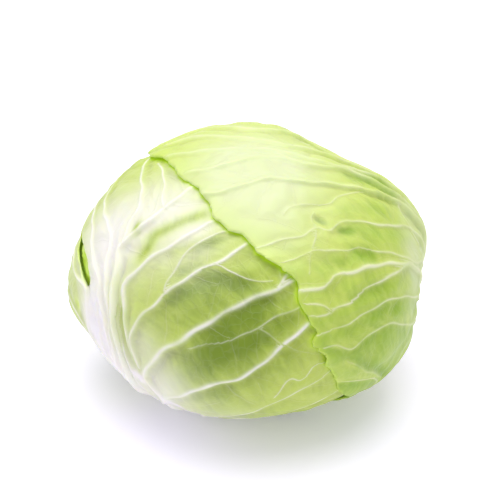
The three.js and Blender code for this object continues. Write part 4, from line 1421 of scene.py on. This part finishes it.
PALE_RIM = [(-128.6, -9.2), (-123.4, -12.4), (-120, -17.9), (-117.1, -24.4), (-114.2, -31.3), (-107.8, -33.7),
            (-99.7, -34.9), (-89.6, -33.8)]
# Deeper green by region: under the ribs, in the pockets, folds and groove it is painted shade; the negative
# spots at the upper left are painted light.
LEFT_GREEN_AND_PAINTED_SHADE = [
    (-92, 7, 16, 0.6), (-80, 20, 12, 0.4), (-108, -8, 12, 0.12), (-150, 36, 24, -0.3),
    (-135, 50, 20, -0.4), (-118, 12, 10, 0.15), (-104, 24, 10, 0.15), *streak(UPPER_FOLD, 3.2, 0.8),
    *streak(RIB_POCKETS[0], 1.8, 0.9), *streak(RIB_POCKETS[1], 2.4, 0.55),
    *streak(UNDER_SECOND, 2.6, 0.4), *streak(UNDER_FORK, 2.4, 0.45),
    *streak(UNDER_FIRST, 3.0, 0.5), *streak(DARK_MIDDLE, 4.0, 0.4),
    *streak(UNDER_LOWEST, 2.6, 0.25),
    *streak(GROOVE, 1.4, 0.1),
]
# Paler by region: the base, its ridges and the lower rim are the leaf's own white; the spots at the upper
# left are partly its own paler colour and partly painted light; the negative spots in the folds and pockets
# are painted shade.
LEFT_PALE_AND_PAINTED_LIGHT = [
    (-139, -10, 12, 0.9), (-145, 4, 10, 0.95), (-130, -34, 20, 0.8), (-146, 20, 9, 0.35), (-118, -14, 8, 0.3),
    (-140, 46, 22, 0.68), (-116, 44, 11, 0.35), (-160, 25, 16, 0.65), (-98, -26, 13, 0.2),
    (-114, -6, 8, 0.35), (-122, 4, 7, 0.3), *streak(GROOVE, 1.4, -0.15),
    *streak(UPPER_FOLD, 3.0, -0.6), *streak(RIB_POCKETS[0], 1.9, -0.8), *streak(RIB_POCKETS[1], 2.4, -0.45),
    *streak(UNDER_SECOND, 2.4, -0.25), *streak(PALE_RIM, 1.8, 0.5),
]
LEFT_DENTS = [
    (-159.8, 0.3, 1.8, -1.6), *streak(GROOVE, 1.4, -1.9), *streak(UPPER_FOLD, 3.0, -0.9),
    *streak(RIB_POCKETS[0], 1.8, -0.6), *streak(RIB_POCKETS[1], 2.0, -0.4), *streak(UNDER_FIRST, 3.0, -0.4),
    *streak(UNDER_FORK, 2.4, -0.6), *streak(DARK_MIDDLE, 4.0, -0.7), *streak(BESIDE_MARGIN, 4.0, 0.6),
]
# The edge spots in this call paint light and a glow at a small hole and at two more places.
left_leaf, left_dirs = blade(
    "leaf_left", left_table, PITCH, left_margin, LEFT_LIFT, 10.0, FINE_COLUMNS, FINE_ROWS, 1.0,
    LEFT_GREEN_AND_PAINTED_SHADE, LEFT_PALE_AND_PAINTED_LIGHT, cover_rule([right_dirs]), tear_slit, dents=LEFT_DENTS,
    edges=[(-159.8, 0.3, 2.4, 0.9), (-139, 18, 2.5, 0.35), (-128, 14, 2.2, 0.25)])
print("left leaf:", len(left_leaf.data.polygons), "faces")

# %% [markdown]
# Both wrappers now go through the tree. The right leaf has taller ribs and the left
# one deeper folds and more wrinkles, as in the photograph. The fold side is turned
# over between them, because their ribs are drawn in opposite senses.

# %% Raise the ribs of both wrapper leaves
FOLD_SIDE_RIGHT = -1.0
FOLD_SIDE_LEFT = 1.0
ALLOWANCE = 0.0007
right_lines_object = vein_object("right_ribs", right_routes)
right_veins_object = vein_object("right_side_veins", right_veins)
left_lines_object = vein_object("left_ribs", left_routes)
left_veins_object = vein_object("left_side_veins", left_veins)
finished(right_leaf, raise_ribs, {
    "Ribs": right_lines_object, "Side veins": right_veins_object, "Rib height": 0.85,
    "Shoulder height": 0.0006, "Fold depth": 0.0017, "Fold width": 0.0025, "Pillow height": 0.0009,
    "Wave height": 0.002, "Fold side": FOLD_SIDE_RIGHT,
    "Mesh allowance": ALLOWANCE, "Seed": 2.0, "Finish": right_finish})
finished(left_leaf, raise_ribs, {
    "Ribs": left_lines_object, "Side veins": left_veins_object, "Rib height": 0.7,
    "Shoulder height": 0.0009, "Fold depth": 0.0018, "Fold width": 0.0029, "Pillow height": 0.0008,
    "Wave height": 0.0018, "Wrinkle height": 0.0011, "Wrinkle spacing": 0.003, "Fold side": FOLD_SIDE_LEFT,
    "Mesh allowance": ALLOWANCE, "Seed": 6.0,
    "Lowest point": PITCH * MM, "Finish": left_finish})
print("right leaf box", [round(v, 4) for v in right_leaf.dimensions])

# %% [markdown]
# Three more leaves lie under the wrappers. They show as strips between the
# wrappers' edges, at the back and beside the stalk. They are spread by rule about
# their midribs, one turn of 137.5 degrees after another, as leaves grow.

# %% The leaves under the wrappers
TURN_PER_LEAF = 137.5
FIRST_UNDER_TURN = 262
UNDER_SWELL_SHARE = 0.5
UNDER_LEAVES = {
    "under_leaf_back": (9, 158, 108, 72),
    "under_leaf_front": (7, 160, 112, 62),
    "under_leaf_left": (7, 162, 116, 56),
}
# The leaf that shows in the tear bulges up into it, and is painted with light and a glow there, where light
# falls in.
TEAR_MIDDLE = [(-184, 14.2), (-176, 15), (-168.4, 15.3), (-162, 14), (-157, 12.8), (-151.6, 10.4)]
TEAR_BULGE = {"under_leaf_left": streak(TEAR_MIDDLE, 9, 7.0)}
TEAR_PAINTED_LIGHT = {"under_leaf_left": streak(TEAR_MIDDLE, 9, 1.0)}
outer_grids = [right_dirs, left_dirs]
helpers = [right_lines_object, right_veins_object, left_lines_object, left_veins_object]
under_pieces = []
for k, (name, (count, reach, side_reach, width)) in enumerate(UNDER_LEAVES.items()):
    layer = k + 2
    table = fanned_table(layer, FIRST_UNDER_TURN + k * TURN_PER_LEAF, count, reach, side_reach, width)
    item, dirs = blade(
        name.replace("under_leaf", "under"), table, layer * PITCH, under_margin, UNDER_LIFT, 8.0,
        UNDER_COLUMNS, UNDER_ROWS, UNDER_SWELL_SHARE, [(-100, 0, 60, 0.1)], [(-144, -62, 30, 1.0)],
        cover_rule(outer_grids), dents=TEAR_BULGE.get(name, ()), edges=TEAR_PAINTED_LIGHT.get(name, ()))
    routes = []
    for number in range(count):
        shares = np.linspace(0, 1.0, 160)
        straight = directions(table, np.full(160, float(number)), shares)
        path = place(wandering(straight, number + 3 * k, 2.4), layer * PITCH, 0.0, UNDER_SWELL_SHARE)
        wide = 3.0 if number == count // 2 else 2.2
        routes.append((path, wide, 0.6, 0.9))
    lines_object = vein_object(name + "_ribs", routes)
    veins_object = vein_object(name + "_veins", grow_veins(routes, layer * PITCH, 20 + k, UNDER_SWELL_SHARE))
    finished(item, raise_ribs, {
        "Ribs": lines_object, "Side veins": veins_object, "Rib height": 0.6, "Fold depth": 0.0016,
        "Pillow height": 0.0008, "Softening steps": 8, "Mesh allowance": 2 * ALLOWANCE, "Seed": 11.0 + k,
        "Lowest point": layer * PITCH * MM, "Finish": under_finish})
    helpers += [lines_object, veins_object]
    outer_grids.append(dirs)
    under_pieces.append((item, name))
    print(item.name, len(item.data.polygons), "faces")

# %% [markdown]
# The inner head is a dense ball of pale leaves that only shows as a glimpse
# between the others. One closed form with low ribs is enough for it.

# %% The inner head
INNER_DEPTH = 5 * PITCH
INNER_AROUND = 160
INNER_RINGS = 90
INNER_RIB = 0.7
INNER_RIBS_AROUND = 9


def inner_head():
    turn = np.arange(INNER_AROUND) * 360 / INNER_AROUND
    away = np.arange(1, INNER_RINGS) * 180 / INNER_RINGS
    dirs = [stalk_axis[None, :]]
    for angle in away:
        dirs.append(np.array([round_stalk(t, angle) for t in turn]))
    dirs.append(-stalk_axis[None, :])
    dirs = np.concatenate(dirs)
    round_angle = np.arctan2(dirs @ stalk_front, dirs @ stalk_right)
    rib = INNER_RIB * np.maximum(0, np.cos(round_angle * INNER_RIBS_AROUND)) * (1 - (dirs @ stalk_axis) ** 2)
    points = place(dirs, INNER_DEPTH + INNER_RIB, rib, UNDER_SWELL_SHARE)
    faces = []
    last = len(dirs) - 1

    def at(ring, i):
        return 1 + (ring - 1) * INNER_AROUND + i % INNER_AROUND

    for i in range(INNER_AROUND):
        faces.append((0, at(1, i), at(1, i + 1)))
        faces.append((last, at(INNER_RINGS - 1, i + 1), at(INNER_RINGS - 1, i)))
        for ring in range(1, INNER_RINGS - 1):
            faces.append((at(ring, i), at(ring + 1, i), at(ring + 1, i + 1), at(ring, i + 1)))
    item = new_mesh_object("inner_leaves", points, faces=faces)
    store(item.data, "halo", "FLOAT", rib / INNER_RIB)
    store(item.data, "pale", "FLOAT", np.clip(blot(dirs, [(-144, -62, 40, 1.0)]), 0, 1))
    item.data.materials.append(inner_finish)
    item.data.polygons.foreach_set("use_smooth", np.ones(len(item.data.polygons), bool))
    return item


inner_piece = inner_head()
print("inner head:", len(inner_piece.data.polygons), "faces")

# %% [markdown]
# The stalk was cut with a knife when the head was harvested. The cut face is
# cream and fibrous, with a ring of bundles a little in from the rim, a pith that
# has shrunk and a rim that has dried to a light tan. A turned profile gives the
# plug, and waves on its radius keep it from looking like a machined one.

# %% The cut stalk
STALK_SIDES = 144
PITH_RADIUS = 6
PITH_SINK = 0.9
WAVY_BEYOND = 9
STALK_SEAT_RISE = 5.2


def stalk_piece():
    face = float(form_radius(stalk_axis)) - 0.4
    seat = float(form_radius(stalk_axis, UNDER_SWELL_SHARE)) - INNER_DEPTH + STALK_SEAT_RISE
    profile = [(0.0, seat), (STALK_RADIUS - 2.5, seat), (STALK_RADIUS - 0.6, seat + 2),
               (STALK_RADIUS, face - 2.6), (STALK_RADIUS - 0.5, face - 0.8), (STALK_RADIUS - 1.4, face)]
    inward = np.linspace(STALK_RADIUS - 1.4, 0, 22)[1:]
    profile += [(r, face - PITH_SINK * float(np.clip((PITH_RADIUS + 1 - r) / 1.4, 0, 1))) for r in inward]
    turn = np.arange(STALK_SIDES) * 2 * np.pi / STALK_SIDES
    points, faces = [stalk_axis * seat + HEAD_CENTRE], []
    for radius, height in profile[1:-1]:
        waves = 1 + 0.012 * np.sin(5 * turn + 1) + 0.008 * np.sin(11 * turn)
        wavy = radius * (waves if radius > WAVY_BEYOND else np.ones(STALK_SIDES))
        wavy = np.minimum(wavy, STALK_RADIUS + 0.1)
        flutter = 0.10 * np.sin(turn * 17 + radius * 2) * (height > face - 2)
        ring = (stalk_right * (wavy * np.cos(turn))[:, None] + stalk_front * (wavy * np.sin(turn))[:, None]
                + stalk_axis * (height + flutter)[:, None] + HEAD_CENTRE)
        points.extend(ring)
    points.append(stalk_axis * profile[-1][1] + HEAD_CENTRE)
    rings = len(profile) - 2

    def at(ring, i):
        return 1 + ring * STALK_SIDES + i % STALK_SIDES

    for i in range(STALK_SIDES):
        faces.append((0, at(0, i + 1), at(0, i)))
        faces.append((len(points) - 1, at(rings - 1, i), at(rings - 1, i + 1)))
        for ring in range(rings - 1):
            faces.append((at(ring, i), at(ring, i + 1), at(ring + 1, i + 1), at(ring + 1, i)))
    item = new_mesh_object("stalk_end", np.array(points), faces=faces)
    offsets = np.array(points) - HEAD_CENTRE
    beside = offsets - (offsets @ stalk_axis)[:, None] * stalk_axis
    store(item.data, "from_axis", "FLOAT", np.linalg.norm(beside, axis=1) / STALK_RADIUS)
    item.data.polygons.foreach_set("use_smooth", np.ones(len(item.data.polygons), bool))
    return item


FIBRE_MM = 1.3


def stalk_finish():
    """Freshly cut woody stalk: matt, wet cream with tan rim and dotted ring."""
    material = bpy.data.materials.new("cut_cabbage_stalk")
    material.use_nodes = True
    tree = material.node_tree
    tree.nodes.clear()
    spot = add(tree, "ShaderNodeTexCoord").outputs["Object"]
    out = add(tree, "ShaderNodeAttribute", {"attribute_name": "from_axis"}).outputs["Fac"]
    ramp = add(tree, "ShaderNodeValToRGB", None, {"Fac": out})
    stops = [(0.0, "#e9e6c8"), (0.44, "#dcd9b4"), (0.52, "#efeddb"), (0.72, "#e9e5cd"), (0.8, "#b9bb7a"),
             (0.86, "#e6e2c8"), (0.95, "#cbb88c"), (1.0, "#b79f70")]
    while len(ramp.color_ramp.elements) < len(stops):
        ramp.color_ramp.elements.new(0.5)
    for element, (position, colour) in zip(ramp.color_ramp.elements, stops):
        element.position = position
        element.color = linear(colour)
    fibres = add(tree, "ShaderNodeTexVoronoi", {"feature": "F1"}, {"Vector": spot, "Scale": 1000 / FIBRE_MM})
    dots = add(tree, "ShaderNodeMapRange", None, {
        "Value": fibres.outputs["Distance"], "From Min": 0.1, "From Max": 0.5, "To Min": 0.5, "To Max": 0.0})
    colour = add(tree, "ShaderNodeMix", {"data_type": "RGBA"},
                 {0: dots.outputs["Result"], 6: ramp.outputs["Color"], 7: linear("#b3ab7c")}).outputs[2]
    bump = add(tree, "ShaderNodeBump", None,
               {"Strength": 0.7, "Distance": 0.0002, "Height": fibres.outputs["Distance"]})
    shader = add(tree, "ShaderNodeBsdfPrincipled", None, {
        "Base Color": colour, "Roughness": 0.62, "IOR": 1.42, "Normal": bump.outputs["Normal"],
        "Subsurface Weight": 0.2, "Subsurface Radius": (1.0, 0.8, 0.4), "Subsurface Scale": 0.002})
    add(tree, "ShaderNodeOutputMaterial", None, {"Surface": shader.outputs[0]})
    return material


stalk_end = stalk_piece()
stalk_end.data.materials.append(stalk_finish())
print("stalk:", len(stalk_end.data.polygons), "faces")

# %% [markdown]
# The photograph was taken high-key: a white table, a white ground and soft light
# from above, a little from the back left. A wide area light gives the soft shadow
# edge, and a bright world fills from all sides, as the white studio did. The
# floor is plain matt white.

# %% Floor, light and world
floor_mesh = bpy.data.meshes.new("floor")
floor_mesh.from_pydata([(-4, -4, 0), (4, -4, 0), (4, 4, 0), (-4, 4, 0)], [], [(0, 1, 2, 3)])
floor = bpy.data.objects.new("floor", floor_mesh)
bpy.context.scene.collection.objects.link(floor)
floor_material = bpy.data.materials.new("matt_white_table")
floor_material.use_nodes = True
floor_shader = floor_material.node_tree.nodes["Principled BSDF"]
floor_shader.inputs["Base Color"].default_value = linear("#f6f3ff")
floor_shader.inputs["Roughness"].default_value = 0.9
floor_shader.inputs["Specular IOR Level"].default_value = 0.1
# The photographer's table glows a little, which keeps the shadow light and cool.
floor_shader.inputs["Emission Color"].default_value = (0.80, 0.76, 1.0, 1)
floor_shader.inputs["Emission Strength"].default_value = 0.24
floor_mesh.materials.append(floor_material)

world = bpy.data.worlds.new("white_studio")
world.use_nodes = True
world.node_tree.nodes["Background"].inputs["Color"].default_value = (0.97, 0.965, 1.0, 1)
world.node_tree.nodes["Background"].inputs["Strength"].default_value = 0.68
bpy.context.scene.world = world
bpy.context.scene.view_settings.view_transform = "Standard"


def soft_light(name, place_m, size, watts, colour):
    data = bpy.data.lights.new(name, "AREA")
    data.shape = "DISK"
    data.size = size
    data.energy = watts
    data.color = colour
    item = bpy.data.objects.new(name, data)
    bpy.context.scene.collection.objects.link(item)
    item.location = place_m
    item.rotation_euler = (Vector((0, 0, 0.07)) - Vector(place_m)).to_track_quat("-Z", "Y").to_euler()
    return item


soft_light("softbox_above", (-0.05, 0.06, 1.2), 1.4, 13.5, (1.0, 0.99, 0.965))
print("one softbox and a white world")

# %% [markdown]
# Last, every piece is tied to the imported model: it rides on the one body and
# takes the place of its solid.

# %% Tie the pieces to the imported model
for helper in helpers:
    helper_mesh = helper.data
    bpy.data.objects.remove(helper)
    bpy.data.meshes.remove(helper_mesh)

PIECES = [
    (right_leaf, "wrapper_leaf_right", "leaf_right"),
    (left_leaf, "wrapper_leaf_left", "leaf_left"),
    *((item, node, "under_leaves") for item, node in under_pieces),
    (inner_piece, "inner_head", "inner_leaves"),
    (stalk_end, "stalk_butt", "stalk"),
]
for item, node, slot in PIECES:
    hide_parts(node)
    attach(item, "root")
    print(item.name, "stands for", node, "with", len(item.data.polygons), "faces")
